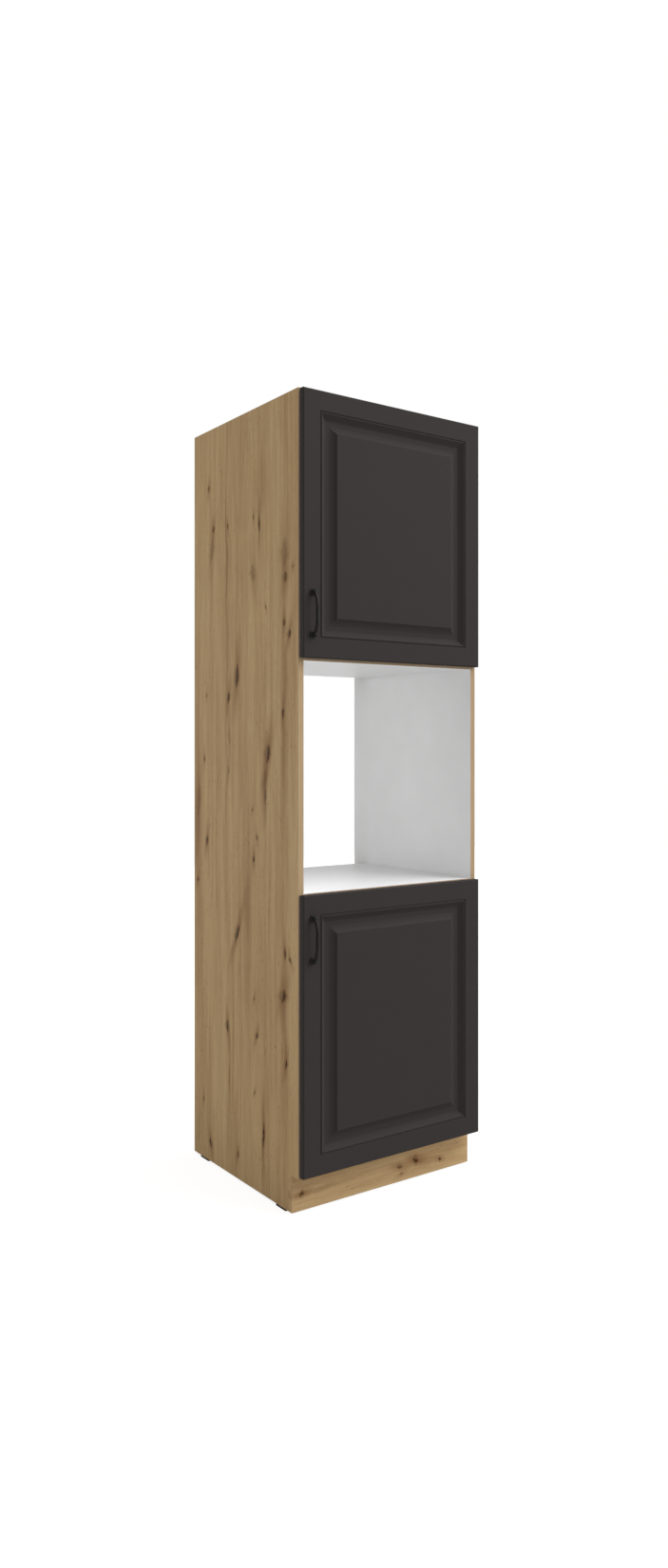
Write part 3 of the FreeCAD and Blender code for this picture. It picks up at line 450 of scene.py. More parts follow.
def laid_along(tree, vector):
    """A vector turned so that grain along Z runs along X."""
    return result_of(tree, "ShaderNodeMapping", {"Vector": vector, "Rotation": LAID_ALONG})


def new_group(name, inputs, outputs, kind="ShaderNodeTree"):
    """A node group with named sockets; returns its tree, its input sockets and its output node."""
    tree = bpy.data.node_groups.new(name, kind)
    for way, sockets in (("INPUT", inputs), ("OUTPUT", outputs)):
        for label, socket in sockets:
            tree.interface.new_socket(label, in_out=way, socket_type="NodeSocket" + socket)
    return tree, tree.nodes.new("NodeGroupInput").outputs, tree.nodes.new("NodeGroupOutput")


def use_group(tree, group, links):
    """Place a shader group in a tree and give its outputs."""
    return put(tree, "ShaderNodeGroup", links, node_tree=group).outputs


def grain_group():
    """Oak-look grain along Z: broad bands, fine fibres, short pores and brown specks in patches."""
    if "oak_grain" in bpy.data.node_groups:
        return bpy.data.node_groups["oak_grain"]
    inputs = (("Vector", "Vector"), ("Light", "Color"), ("Dark", "Color"), ("Speck", "Color"))
    tree, given, out = new_group("oak_grain", inputs, (("Color", "Color"),))
    wander = put(tree, "ShaderNodeTexNoise", {
        "Vector": stretched(tree, given["Vector"], WANDER_SCALE), "Scale": 1.0, "Detail": WANDER_DETAIL})
    sway = result_of(tree, "ShaderNodeVectorMath", {0: wander.outputs["Color"], 1: (0.5, 0.5, 0.5)},
                     operation="SUBTRACT")
    swayed = result_of(tree, "ShaderNodeVectorMath",
                       {0: stretched(tree, sway, WANDER_REACH), 1: given["Vector"]}, operation="ADD")
    darkened = 0.0
    for pattern, weight in GRAIN_LAYERS:
        darkened = sums(tree, "MULTIPLY_ADD", patterned(tree, swayed, pattern), weight, darkened)
    wood = blended(tree, darkened, given["Light"], given["Dark"])
    specks = patterned(tree, swayed, SPECKS)
    patches = patterned(tree, swayed, SPECK_PATCHES, *SPECK_SHARES)
    specked = blended(tree, sums(tree, "MULTIPLY", specks, patches), wood, given["Speck"])
    join(tree, out.inputs["Color"], specked)
    return tree


def knot_group():
    """One knot painted over a colour: a ragged core, dark on one side, in a long brown streak."""
    if "oak_knot" in bpy.data.node_groups:
        return bpy.data.node_groups["oak_knot"]
    colours = ("Color", "Stain", "Heart", "Core")
    numbers = ("Across", "Along", "Ragged", "Waver", "Lean", "At Across", "At Along", "Half Width",
               "Half Length", "Depth")
    inputs = [(label, "Color") for label in colours] + [(label, "Float") for label in numbers]
    tree, given, out = new_group("oak_knot", inputs, (("Color", "Color"), ("Waver", "Float")))

    def times(first, second):
        return sums(tree, "MULTIPLY", first, second)

    wavered = sums(tree, "ADD", given["Across"], given["Waver"])
    sideways = sums(tree, "DIVIDE", sums(tree, "SUBTRACT", wavered, given["At Across"]), given["Half Width"])
    rise = sums(tree, "SUBTRACT", given["Along"], given["At Along"])
    along = sums(tree, "DIVIDE", rise, given["Half Length"])
    leaned = sums(tree, "MULTIPLY_ADD", along, given["Lean"], sideways)
    aside = sums(tree, "ABSOLUTE", leaned)
    almond = sums(tree, "MULTIPLY_ADD", along, along, aside)
    frayed = sums(tree, "MULTIPLY_ADD", given["Ragged"], KNOT_FRAY, almond)
    body = faded(tree, frayed, KNOT_BODY)
    ring = faded(tree, frayed, KNOT_RING, KNOT_RING_SHARE)
    flecks = times(ramped(tree, given["Ragged"], *KNOT_FLECKS), ring)
    streak = times(faded(tree, aside, KNOT_STREAK_ASIDE),
                   faded(tree, sums(tree, "ABSOLUTE", along), KNOT_STREAK_ALONG, KNOT_STREAK_SHARE))
    tilt = times(times(leaned, given["Lean"]), KNOT_LEAN_PULL)
    side = sums(tree, "MULTIPLY_ADD", given["Ragged"], KNOT_FRAY_PULL, tilt)
    dark_side = ramped(tree, side, *KNOT_DARK_SIDE, KNOT_DARK_LEAST_SHARE, 1.0)
    depth = ramped(tree, given["Depth"], *KNOT_CORE_DEPTH)
    core = sums(tree, "MAXIMUM", times(body, dark_side), flecks)
    pale = times(body, sums(tree, "SUBTRACT", 1.0, dark_side))
    brown = times(sums(tree, "MAXIMUM", ring, streak), given["Depth"])
    stained = blended(tree, brown, given["Color"], given["Stain"])
    hearted = blended(tree, times(pale, depth), stained, given["Heart"])
    join(tree, out.inputs["Color"], blended(tree, times(core, depth), hearted, given["Core"]))
    join(tree, out.inputs["Waver"], sums(tree, "MULTIPLY_ADD", brown, KNOT_PUSH, given["Waver"]))
    return tree


def chip_group():
    """Pressed chips of a raw board edge."""
    if "pressed_chips" in bpy.data.node_groups:
        return bpy.data.node_groups["pressed_chips"]
    inputs = (("Vector", "Vector"), ("Color", "Color"))
    tree, given, out = new_group("pressed_chips", inputs, (("Color", "Color"),))
    cells = put(tree, "ShaderNodeTexVoronoi", {
        "Vector": stretched(tree, given["Vector"], CHIP_STRETCH), "Scale": CHIPS_PER_METRE})
    tone = sums(tree, "MULTIPLY_ADD", cells.outputs["Color"], CHIP_TONE_RANGE, CHIP_LEAST_TONE)
    dimmed = result_of(tree, "ShaderNodeVectorMath", {"Vector": given["Color"], "Scale": tone},
                       operation="SCALE")
    join(tree, out.inputs["Color"], dimmed)
    return tree


def skin_group():
    """Fine surface of a coat, plate or moulding: roughness and tone that drift, and a small height."""
    if "fine_skin" in bpy.data.node_groups:
        return bpy.data.node_groups["fine_skin"]
    inputs = (("Vector", "Vector"), ("Scale", "Float"), ("Roughness", "Float"), ("Drift", "Float"))
    outputs = (("Roughness", "Float"), ("Height", "Float"), ("Tone", "Float"))
    tree, given, out = new_group("fine_skin", inputs, outputs)
    fine = put(tree, "ShaderNodeTexNoise", {
        "Vector": given["Vector"], "Scale": given["Scale"], "Detail": FINE_DETAIL}).outputs["Fac"]
    cloud = put(tree, "ShaderNodeTexNoise", {
        "Vector": given["Vector"], "Scale": CLOUDS_PER_METRE, "Detail": CLOUD_DETAIL}).outputs["Fac"]
    drift = sums(tree, "SUBTRACT", cloud, 0.5)
    speckle = sums(tree, "MULTIPLY_ADD", sums(tree, "SUBTRACT", fine, 0.5), FINE_TONE, 1.0)
    rough = sums(tree, "MULTIPLY_ADD", drift, given["Drift"], given["Roughness"])
    join(tree, out.inputs["Roughness"], rough)
    join(tree, out.inputs["Height"], fine)
    join(tree, out.inputs["Tone"], sums(tree, "MULTIPLY_ADD", drift, CLOUD_TONE, speckle))
    return tree


class Surface:
    """A Principled material with a fine skin, on Object coordinates."""

    def __init__(self, name, skin):
        self.material = bpy.data.materials.new(name)
        self.material.use_nodes = True
        self.tree = self.material.node_tree
        self.vector = self.tree.nodes.new("ShaderNodeTexCoord").outputs["Object"]
        fine = use_group(self.tree, skin_group(), {
            "Vector": self.vector, "Scale": skin.scale, "Roughness": skin.rough, "Drift": skin.drift})
        lift = put(self.tree, "ShaderNodeBump", {
            "Height": fine["Height"], "Strength": skin.bump, "Distance": skin.distance})
        toned = put(self.tree, "ShaderNodeMix", {MIX_SHARE: 1.0, MIX_SECOND: fine["Tone"]},
                    data_type="RGBA", blend_type="MULTIPLY")
        self.colour = toned.inputs[MIX_FIRST]
        shader = self.tree.nodes["Principled BSDF"]
        for label, value in (("Base Color", toned.outputs[MIX_RESULT]), ("Roughness", fine["Roughness"]),
                             ("Normal", lift.outputs["Normal"]), ("Specular IOR Level", skin.specular),
                             ("Metallic", skin.metallic)):
            join(self.tree, shader.inputs[label], value)

    def paint(self, value):
        """Set the colour, which the skin varies in tone."""
        join(self.tree, self.colour, value)

    def paint_mottled(self, rgb, mottle):
        """Set a colour that noise dulls in places."""
        dull = [mottle.left_share * c for c in rgb]
        smear = noise(self.tree, self.vector, mottle.scale, mottle.detail)
        self.paint(blended(self.tree, smear, opaque(rgb), opaque(dull)))

    def dress(self, *names):
        """Give CAD nodes this material."""
        for name in names:
            NODES[name].data.materials.clear()
            NODES[name].data.materials.append(self.material)


def plain_oak(tree, vector, finish):
    """Oak colour without knots; the grain runs along Z of the vector."""
    links = {"Vector": vector, "Light": opaque(finish.oak_light), "Dark": opaque(finish.oak_dark),
             "Speck": opaque(finish.stain)}
    return use_group(tree, grain_group(), links)["Color"]


def oak(tree, vector, finish, across, along, knots):
    """Oak colour with its knots; across and along are sockets, and knots are in metres."""
    painted = plain_oak(tree, vector, finish)
    ragged = sums(tree, "SUBTRACT", noise(tree, vector, RAGGED_SCALE, RAGGED_DETAIL, RAGGED_ROUGHNESS), 0.5)
    waver = sums(tree, "MULTIPLY_ADD", noise(tree, vector, WAVER_SCALE), WAVER_REACH, -WAVER_REACH / 2)
    colours = {"Stain": opaque(finish.stain), "Heart": opaque(finish.heart), "Core": opaque(finish.knot)}
    for knot in knots:
        made = use_group(tree, knot_group(), {
            **colours, "Color": painted, "Across": across, "Along": along, "Ragged": ragged, "Waver": waver,
            "Lean": knot.lean, "At Across": knot.across, "At Along": knot.along,
            "Half Width": knot.half_width, "Half Length": knot.half_length, "Depth": knot.depth})
        painted = made["Color"]
        waver = made["Waver"]
    return painted


def placed_knots(rows, across, along, turned_over=False):
    """Knots in metres, from rows of shares and millimetres and the board's ends across and along."""
    placed = []
    for knot in (Knot(*row) for row in rows):
        share_across = 1.0 - knot.across if turned_over else knot.across
        share_along = 1.0 - knot.along if turned_over else knot.along
        placed.append(knot._replace(
            across=across[0] + share_across * (across[1] - across[0]),
            along=along[0] + share_along * (along[1] - along[0]),
            half_width=knot.half_width * MILLIMETRE, half_length=knot.half_length * MILLIMETRE))
    return placed


def raw_chips(tree, vector, finish):
    """Colour of a raw chipboard edge."""
    return use_group(tree, chip_group(), {"Vector": vector, "Color": opaque(finish.chipboard)})["Color"]


class CABINET_OT_sides(bpy.types.Operator):
    """Oak outside and front edge, white inside, raw chipboard at the rear and the foot"""
    bl_idname = "cabinet.sides"
    bl_label = "Side panels"

    def execute(self, context):
        finish = context.scene.cabinet_boards
        for name, turned_over in (("left_side_panel", False), ("right_side_panel", True)):
            surface = Surface(name + "_laminate", OAK_SKIN)
            tree = surface.tree
            x, y, z = split(tree, surface.vector)
            ends = ((SIDE_LOW.y, SIDE_HIGH.y), (SIDE_LOW.z, SIDE_HIGH.z))
            knots = placed_knots(SIDE_KNOTS, *ends, turned_over)
            outside = oak(tree, surface.vector, finish, y, z, knots)
            front = sums(tree, "LESS_THAN", y, SIDE_LOW.y + FACE_MARGIN)
            rear = sums(tree, "GREATER_THAN", y, SIDE_HIGH.y - FACE_MARGIN)
            foot = sums(tree, "LESS_THAN", z, SIDE_LOW.z + FACE_MARGIN)
            inner = sums(tree, "LESS_THAN", sums(tree, "ABSOLUTE", x), -SIDE_HIGH.x + FACE_MARGIN)
            greying = sums(tree, "MULTIPLY", front, EDGE_GREY_SHARE)
            banded = blended(tree, greying, outside, opaque(finish.oak_edge))
            raw = sums(tree, "MAXIMUM", rear, foot)
            edged = blended(tree, raw, banded, raw_chips(tree, surface.vector, finish))
            surface.paint(blended(tree, inner, edged, opaque(finish.white)))
            surface.dress(name)
        return {"FINISHED"}


class CABINET_OT_boards(bpy.types.Operator):
    """White fixed boards with an oak band at the front, and white loose shelves"""
    bl_idname = "cabinet.boards"
    bl_label = "Fixed boards and shelves"

    def execute(self, context):
        finish = context.scene.cabinet_boards
        for name in FIXED_BOARDS:
            low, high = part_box(name)
            surface = Surface(name + "_melamine", MELAMINE_SKIN)
            tree = surface.tree
            y = split(tree, surface.vector)[1]
            front = sums(tree, "LESS_THAN", y, low.y + FACE_MARGIN)
            rear = sums(tree, "GREATER_THAN", y, high.y - FACE_MARGIN)
            band = plain_oak(tree, laid_along(tree, surface.vector), finish)
            greyed = blended(tree, EDGE_GREY_SHARE, band, opaque(finish.oak_edge))
            faced = blended(tree, front, opaque(finish.white), greyed)
            surface.paint(blended(tree, rear, faced, raw_chips(tree, surface.vector, finish)))
            surface.dress(name)
        shelf = Surface("shelf_melamine", MELAMINE_SKIN)
        shelf.paint(opaque(finish.white))
        shelf.dress("upper_shelf", "lower_shelf")
        return {"FINISHED"}


class CABINET_OT_backs(bpy.types.Operator):
    """Back panels, white towards the room and bare hardboard behind"""
    bl_idname = "cabinet.backs"
    bl_label = "Back panels"

    def execute(self, context):
        finish = context.scene.cabinet_boards
        surface = Surface("hardboard_panel", HARDBOARD_SKIN)
        tree = surface.tree
        front = sums(tree, "LESS_THAN", split(tree, surface.vector)[1], BACK_LOW.y + FACE_MARGIN)
        flecks = patterned(tree, surface.vector, HARDBOARD_FLECKS)
        brown = blended(tree, flecks, opaque(finish.hardboard), opaque(finish.chipboard))
        surface.paint(blended(tree, front, brown, opaque(finish.white)))
        surface.dress("upper_back_panel", "lower_back_panel")
        return {"FINISHED"}


class CABINET_OT_plinth(bpy.types.Operator):
    """Oak plinth with the grain along it, and black glides under the sides"""
    bl_idname = "cabinet.plinth"
    bl_label = "Plinth and glides"

    def execute(self, context):
        plinth = Surface("plinth_laminate", OAK_SKIN)
        x, _, z = split(plinth.tree, plinth.vector)
        knots = placed_knots(PLINTH_KNOTS, (PLINTH_LOW.z, PLINTH_HIGH.z), (PLINTH_LOW.x, PLINTH_HIGH.x))
        grain = laid_along(plinth.tree, plinth.vector)
        plinth.paint(oak(plinth.tree, grain, context.scene.cabinet_boards, z, x, knots))
        plinth.dress("plinth_board")
        glide = Surface("glide_plastic", GLIDE_SKIN)
        glide.paint(opaque(context.scene.cabinet_fittings.black_plastic))
        glide.dress(*(name for name in NODES if name.startswith("glide_")))
        return {"FINISHED"}


class CABINET_OT_doors(bpy.types.Operator):
    """Graphite foil on the front and edges of the doors, white behind, with soft bumpers"""
    bl_idname = "cabinet.doors"
    bl_label = "Doors"

    def execute(self, context):
        door = Surface("graphite_foil", FOIL_SKIN)
        y = split(door.tree, door.vector)[1]
        behind = sums(door.tree, "GREATER_THAN", y, DOOR_HIGH.y - FACE_MARGIN)
        graphite = opaque(context.scene.cabinet_fronts.graphite)
        door.paint(blended(door.tree, behind, graphite, opaque(context.scene.cabinet_boards.white)))
        door.dress("upper_door", "lower_door")
        bumper = Surface("bumper_pad", BUMPER_SKIN)
        bumper.paint(opaque(context.scene.cabinet_fittings.bumper))
        bumper.dress("upper_door_bumpers", "lower_door_bumpers")
        return {"FINISHED"}


class CABINET_OT_handles(bpy.types.Operator):
    """Bow handles in black lacquer, rubbed paler in patches"""
    bl_idname = "cabinet.handles"
    bl_label = "Handles"

    def execute(self, context):
        finish = context.scene.cabinet_fronts
        surface = Surface("black_lacquer", LACQUER_SKIN)
        patches = patterned(surface.tree, surface.vector, RUBBED_PATCHES)
        surface.paint(blended(surface.tree, patches, opaque(finish.iron), opaque(finish.rubbed)))
        surface.dress("upper_handle", "lower_handle")
        return {"FINISHED"}


class CABINET_OT_fittings(bpy.types.Operator):
    """Hinges, pins, brackets, bolts and dowels"""
    bl_idname = "cabinet.fittings"
    bl_label = "Hinges and joinery"

    def execute(self, context):
        finish = context.scene.cabinet_fittings
        nickel = Surface("nickel_plate", NICKEL_SKIN)
        nickel.paint_mottled(finish.nickel, NICKEL_MOTTLE)
        for part in ("hinge_plates", "hinge_arms", "hinge_links", "hinge_cups", "cup_pins"):
            nickel.dress("upper_" + part, "lower_" + part)
        nickel.dress("hinge_arm_pins", "wall_brackets", "shelf_pins", "cam_bolts")
        plastic = Surface("bracket_plastic", BRACKET_SKIN)
        plastic.paint(opaque(finish.white_plastic))
        plastic.dress("plinth_brackets")
        beech = Surface("beech_dowel", BEECH_SKIN)
        beech.paint_mottled(finish.beech, BEECH_MOTTLE)
        beech.dress("dowels")
        return {"FINISHED"}


def solid_boxes(name):
    """Each separate solid in a CAD node, in order of its low corner."""
    copy = bmesh.new()
    copy.from_mesh(NODES[name].data)
    bmesh.ops.remove_doubles(copy, verts=copy.verts, dist=WELD)
    left = set(copy.verts)
    found = []
    while left:
        queue = [left.pop()]
        points = []
        while queue:
            vert = queue.pop()
            points.append(vert.co.copy())
            for edge in vert.link_edges:
                other = edge.other_vert(vert)
                if other in left:
                    left.remove(other)
                    queue.append(other)
        low = Vector(min(p[k] for p in points) for k in range(3))
        high = Vector(max(p[k] for p in points) for k in range(3))
        found.append(Solid(low, high, points))
    copy.free()
    # A set has no fixed order, and the heads' random turns follow this one in every run.
    return sorted(found, key=lambda solid: tuple(solid.low))


def end_spread(points, middle, axis, level):
    """How far a solid reaches from its axis at one end, squared."""
    near = [p for p in points if abs(p[axis] - level) < FACE_MARGIN]
    return max((p - middle).length_squared - (p[axis] - middle[axis]) ** 2 for p in near)


def screw_seats(name, head_height):
    """Seat under the head of each screw in a CAD node."""
    seats = []
    for low, high, points in solid_boxes(name):
        span = high - low
        middle = (low + high) / 2
        axis = max(range(3), key=lambda k: span[k])
        at_low = end_spread(points, middle, axis, low[axis])
        at_high = end_spread(points, middle, axis, high[axis])
        sense = 1 if at_high > at_low else -1
        outward = Vector((0, 0, 0))
        outward[axis] = sense
        under_head = middle.copy()
        under_head[axis] = (high[axis] if sense > 0 else low[axis]) - sense * head_height
        seats.append(Seat(under_head, outward, span[axis] - head_height))
    return seats


def cam_seats(name):
    """Seat at the middle of the hidden end of each cam lock."""
    board_lows = [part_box(board)[0] for board in FIXED_BOARDS]
    seats = []
    for lock in solid_boxes(name):
        middle = (lock.low + lock.high) / 2
        faces_down = any(abs(lock.low.z - board_low.z) < FACE_MARGIN for board_low in board_lows)
        hidden_end = Vector((middle.x, middle.y, lock.high.z if faces_down else lock.low.z))
        outward = Vector((0, 0, -1 if faces_down else 1))
        seats.append(Seat(hidden_end, outward, lock.high.z - lock.low.z))
    return seats


def cross_head_tree():
    """A round head with a cross recess on each seat, with a plain shank if that has a length."""
    if "cross_heads" in bpy.data.node_groups:
        return bpy.data.node_groups["cross_heads"]
    tree, given, out = new_group("cross_heads", HEAD_SOCKETS, (("Screws", "Geometry"),), "GeometryNodeTree")

    def moved(mesh, height):
        raised = result_of(tree, "ShaderNodeCombineXYZ", {"Z": height})
        return result_of(tree, "GeometryNodeTransform", {"Geometry": mesh, "Translation": raised})

    rim_height = sums(tree, "MULTIPLY", given["Head Height"], given["Rim Share"])
    rim = result_of(tree, "GeometryNodeMeshCylinder", {
        "Vertices": HEAD_SIDES, "Radius": given["Head Radius"], "Depth": rim_height})
    crown_radius = sums(tree, "MULTIPLY", given["Head Radius"], CROWN_SHARE)
    crown_height = sums(tree, "SUBTRACT", given["Head Height"], rim_height)
    crown = result_of(tree, "GeometryNodeMeshCone", {
        "Vertices": HEAD_SIDES, "Radius Top": crown_radius, "Radius Bottom": given["Head Radius"],
        "Depth": crown_height})
    head = put(tree, "GeometryNodeMeshBoolean", operation="UNION", solver="EXACT")
    join(tree, head.inputs["Mesh 2"], moved(rim, sums(tree, "MULTIPLY", rim_height, 0.5)))
    join(tree, head.inputs["Mesh 2"], moved(crown, rim_height))

    # A bar is centred on the head's top, so it is twice as deep as its recess.
    bar_length = sums(tree, "MULTIPLY", given["Head Radius"], CROSS_SHARE)
    bar_depth = sums(tree, "MULTIPLY", given["Cross Depth"], 2.0)
    recessed = put(tree, "GeometryNodeMeshBoolean", {"Mesh 1": head.outputs[0]}, operation="DIFFERENCE",
                   solver="EXACT")
    for across, along in ((given["Cross Width"], bar_length), (bar_length, given["Cross Width"])):
        size = result_of(tree, "ShaderNodeCombineXYZ", {"X": across, "Y": along, "Z": bar_depth})
        bar = result_of(tree, "GeometryNodeMeshCube", {"Size": size})
        join(tree, recessed.inputs["Mesh 2"], moved(bar, given["Head Height"]))

    shank = result_of(tree, "GeometryNodeMeshCylinder", {
        "Vertices": SHANK_SIDES, "Radius": given["Shank Radius"], "Depth": given["Shank Length"]})
    sunk = moved(shank, sums(tree, "MULTIPLY", given["Shank Length"], -0.5))
    has_shank = sums(tree, "GREATER_THAN", given["Shank Length"], 0.0)
    screw = tree.nodes.new("GeometryNodeJoinGeometry")
    join(tree, screw.inputs[0], recessed.outputs[0])
    join(tree, screw.inputs[0], result_of(tree, "GeometryNodeSwitch", {"Switch": has_shank, "True": sunk},
                                          input_type="GEOMETRY"))

    # Inputs 2 and 3 and output 1 of Random Value are its range and result for plain numbers.
    turn = put(tree, "FunctionNodeRandomValue", {"Seed": given["Seed"], 2: 0.0, 3: math.tau},
               data_type="FLOAT")
    spin = result_of(tree, "FunctionNodeAxisAngleToRotation", {"Angle": turn.outputs[1]})
    outward = result_of(tree, "GeometryNodeInputNamedAttribute", {"Name": "outward"},
                        data_type="FLOAT_VECTOR")
    facing = result_of(tree, "FunctionNodeAlignRotationToVector", {"Rotation": spin, "Vector": outward},
                       axis="Z")
    copies = result_of(tree, "GeometryNodeInstanceOnPoints", {
        "Points": given["Seats"], "Instance": screw.outputs[0], "Rotation": facing})
    real = result_of(tree, "GeometryNodeRealizeInstances", {"Geometry": copies})
    finished = result_of(tree, "GeometryNodeSetMaterial", {"Geometry": real, "Material": given["Finish"]})
    join(tree, out.inputs[0], finished)
    return tree


def make_heads(piece, node, seats, sizes):
    """Build one set of heads from its seats, in place of a CAD node."""
    mesh = bpy.data.meshes.new(piece)
    mesh.from_pydata([seat.place for seat in seats], [], [])
    facing = mesh.attributes.new("outward", "FLOAT_VECTOR", "POINT")
    for item, seat in zip(facing.data, seats):
        item.vector = seat.outward
    heads = bpy.data.objects.new(piece, mesh)
    bpy.context.scene.collection.objects.link(heads)
    tree = cross_head_tree()
    modifier = heads.modifiers.new("heads", "NODES")
    modifier.node_group = tree
    for item in tree.interface.items_tree:
        if item.in_out == "INPUT" and item.name in sizes:
            modifier[item.identifier] = sizes[item.name]
    solid = bpy.data.meshes.new_from_object(heads.evaluated_get(bpy.context.evaluated_depsgraph_get()))
    heads.modifiers.clear()
    heads.data = solid
    if not solid.polygons:
        raise RuntimeError("%s has no faces" % piece)
    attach(heads, NODES[node]["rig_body"])
    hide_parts(node)


class CABINET_OT_screws(bpy.types.Operator):
    """Screws with domed heads and a cross recess, in place of the plain CAD screws"""
    bl_idname = "cabinet.screws"
    bl_label = "Screws"

    def execute(self, context):
        finish = context.scene.cabinet_fittings
        plate = Surface("screw_plate", SCREW_SKIN)
        plate.paint_mottled(finish.nickel, SCREW_MOTTLE)
        for node in ("hinge_plate_screws", "hinge_arm_screws", "wall_bracket_screws",
                     "plinth_bracket_screws", "upper_cup_screws", "lower_cup_screws",
                     "upper_handle_screws", "lower_handle_screws"):
            seats = screw_seats(node, finish.head_height)
            shank = finish.handle_shank_radius if "handle" in node else finish.shank_radius
            make_heads(node + "_crossed", node, seats, {
                "Head Radius": finish.head_radius, "Head Height": finish.head_height,
                "Rim Share": finish.rim_share, "Cross Width": finish.cross_width,
                "Cross Depth": finish.cross_depth, "Shank Radius": shank, "Shank Length": seats[0].run,
                "Seed": finish.turn_seed, "Finish": plate.material})
        return {"FINISHED"}


class CABINET_OT_cams(bpy.types.Operator):
    """Cam locks with a cross slot in the open face"""
    bl_idname = "cabinet.cams"
    bl_label = "Cam locks"

    def execute(self, context):
        finish = context.scene.cabinet_fittings
        zinc = Surface("zinc_casting", ZINC_SKIN)
        zinc.paint_mottled(finish.zinc, ZINC_MOTTLE)
        seats = cam_seats("cam_locks")
        lock = solid_boxes("cam_locks")[0]
        make_heads("cam_locks_slotted", "cam_locks", seats, {
            "Head Radius": (lock.high.x - lock.low.x) / 2, "Head Height": seats[0].run,
            "Rim Share": finish.cam_rim_share, "Cross Width": finish.cam_cross_width,
            "Cross Depth": finish.cam_cross_depth, "Shank Length": 0.0, "Seed": finish.turn_seed,
            "Finish": zinc.material})
        return {"FINISHED"}


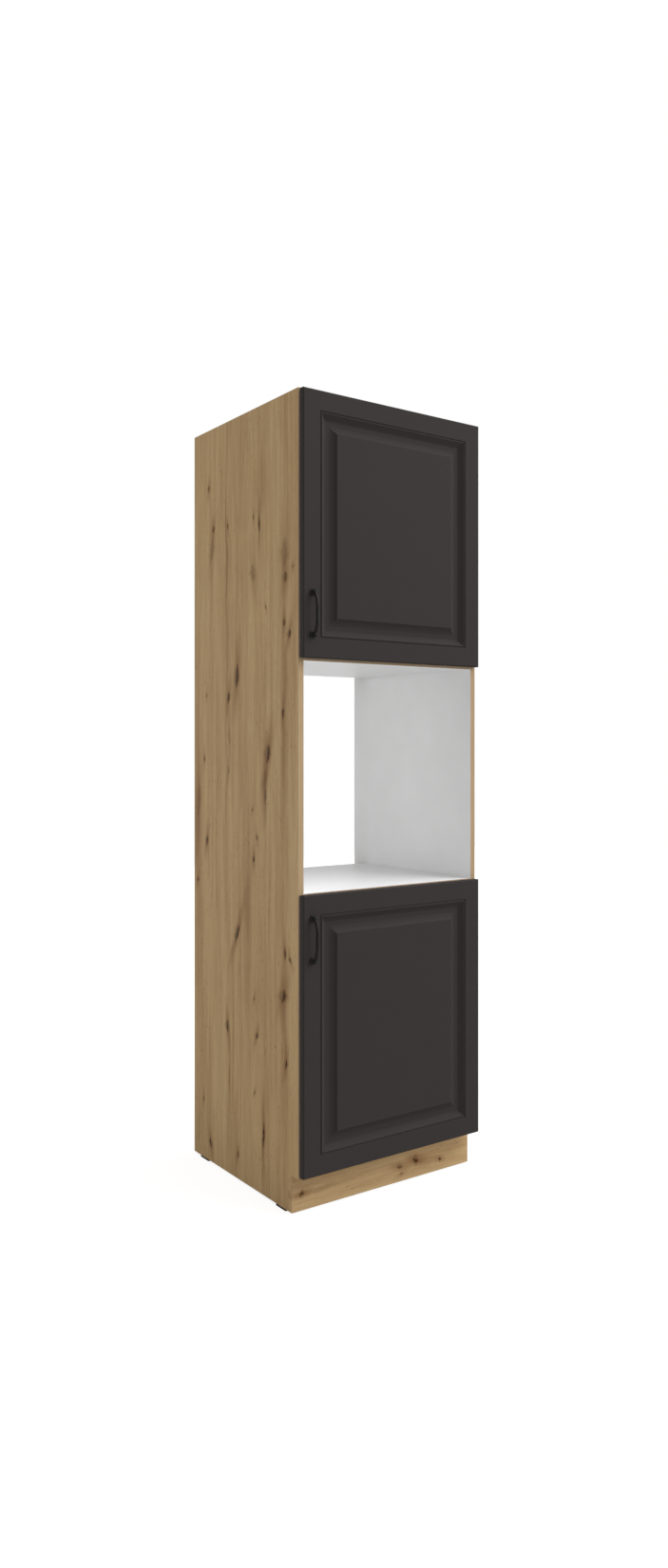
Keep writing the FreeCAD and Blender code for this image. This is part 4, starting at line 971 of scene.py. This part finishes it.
class CABINET_OT_stage(bpy.types.Operator):
    """Pale floor, white surroundings, a key lamp, a fill lamp and the camera"""
    bl_idname = "cabinet.stage"
    bl_label = "Studio"

    def execute(self, context):
        scene = context.scene
        studio = scene.cabinet_studio
        scene.view_settings.view_transform = "Standard"
        self.make_floor(scene, studio)
        self.make_world(scene, studio)
        self.hang_lamp(scene, "key_lamp", studio.key_power, studio.key_size, studio.key_place)
        self.hang_lamp(scene, "fill_lamp", studio.fill_power, studio.fill_size, studio.fill_place)
        self.place_camera(scene, studio)
        return {"FINISHED"}

    def seen(self, tree):
        """1 for rays from the camera, a mirror or glass, 0 for light that spreads."""
        path = tree.nodes.new("ShaderNodeLightPath")
        bright = sums(tree, "MAXIMUM", path.outputs["Is Camera Ray"], path.outputs["Is Glossy Ray"])
        return sums(tree, "MAXIMUM", bright, path.outputs["Is Transmission Ray"])

    def make_floor(self, scene, studio):
        """Floor that the camera sees as near white, with the cabinet's shadow."""
        half = studio.floor_size / 2
        level = CAD_BOX[0].z - FLOOR_DROP
        corners = [(-half, -half, level), (half, -half, level), (half, half, level), (-half, half, level)]
        mesh = bpy.data.meshes.new("floor")
        mesh.from_pydata(corners, [], [(0, 1, 2, 3)])
        floor = bpy.data.objects.new("floor", mesh)
        scene.collection.objects.link(floor)
        material = bpy.data.materials.new("pale_floor")
        material.use_nodes = True
        tree = material.node_tree
        tree.nodes.remove(tree.nodes["Principled BSDF"])
        matt = result_of(tree, "ShaderNodeBsdfDiffuse", {"Color": opaque(studio.floor_shade)})
        faint = result_of(tree, "ShaderNodeBsdfDiffuse", {"Color": opaque([studio.floor_show] * 3)})
        glow = result_of(tree, "ShaderNodeEmission", {"Color": WHITE, "Strength": studio.floor_glow})
        pale = result_of(tree, "ShaderNodeAddShader", {0: faint, 1: glow})
        mixed = result_of(tree, "ShaderNodeMixShader", {0: self.seen(tree), 1: matt, 2: pale})
        join(tree, tree.nodes["Material Output"].inputs["Surface"], mixed)
        mesh.materials.append(material)

    def make_world(self, scene, studio):
        """Surroundings that light the cabinet evenly and look white."""
        world = bpy.data.worlds.new("white_surroundings")
        world.use_nodes = True
        tree = world.node_tree
        background = tree.nodes["Background"]
        join(tree, background.inputs["Color"], WHITE)
        strength = ramped(tree, self.seen(tree), 0.0, 1.0, studio.ambient, 1.0)
        join(tree, background.inputs["Strength"], strength)
        scene.world = world

    def hang_lamp(self, scene, name, watts, size, centre):
        """Square lamp that points at the middle of the cabinet."""
        light = bpy.data.lights.new(name, "AREA")
        light.energy = watts
        light.size = size
        lamp = bpy.data.objects.new(name, light)
        lamp.location = centre
        middle = (CAD_BOX[0] + CAD_BOX[1]) / 2
        lamp.rotation_euler = (middle - lamp.location).to_track_quat("-Z", "Y").to_euler()
        scene.collection.objects.link(lamp)

    def place_camera(self, scene, studio):
        """Level camera at the photograph's place."""
        data = bpy.data.cameras.new("camera")
        data.lens = studio.camera_lens
        data.shift_x, data.shift_y = studio.camera_shift
        camera = bpy.data.objects.new("camera", data)
        camera.location = studio.camera_place
        camera.rotation_euler = (math.pi / 2, 0.0, -studio.camera_turn)
        scene.collection.objects.link(camera)
        scene.camera = camera


OPERATORS = (CABINET_OT_sides, CABINET_OT_boards, CABINET_OT_backs, CABINET_OT_plinth, CABINET_OT_doors,
             CABINET_OT_handles, CABINET_OT_fittings, CABINET_OT_screws, CABINET_OT_cams, CABINET_OT_stage)
SETTINGS = {"cabinet_boards": BoardFinish, "cabinet_fronts": FrontFinish, "cabinet_fittings": FittingFinish,
            "cabinet_studio": StudioSetup}


class CABINET_PT_sidebar(bpy.types.Panel):
    """Settings and steps of the cabinet"""
    bl_idname = "CABINET_PT_sidebar"
    bl_label = "Tall oven cabinet"
    bl_space_type = "VIEW_3D"
    bl_region_type = "UI"
    bl_category = "Cabinet"

    def draw(self, context):
        for name, group in SETTINGS.items():
            block = self.layout.box()
            for label in group.__annotations__:
                block.prop(getattr(context.scene, name), label)
        for step in OPERATORS:
            self.layout.operator(step.bl_idname)


CLASSES = (*SETTINGS.values(), *OPERATORS, CABINET_PT_sidebar)


def register():
    for cls in CLASSES:
        bpy.utils.register_class(cls)
    for name, group in SETTINGS.items():
        setattr(bpy.types.Scene, name, PointerProperty(type=group))


def unregister():
    for name in SETTINGS:
        delattr(bpy.types.Scene, name)
    for cls in reversed(CLASSES):
        bpy.utils.unregister_class(cls)


def main():
    register()
    for step in OPERATORS:
        group, name = step.bl_idname.split(".")
        getattr(getattr(bpy.ops, group), name)()


if __name__ == "__main__":
    main()
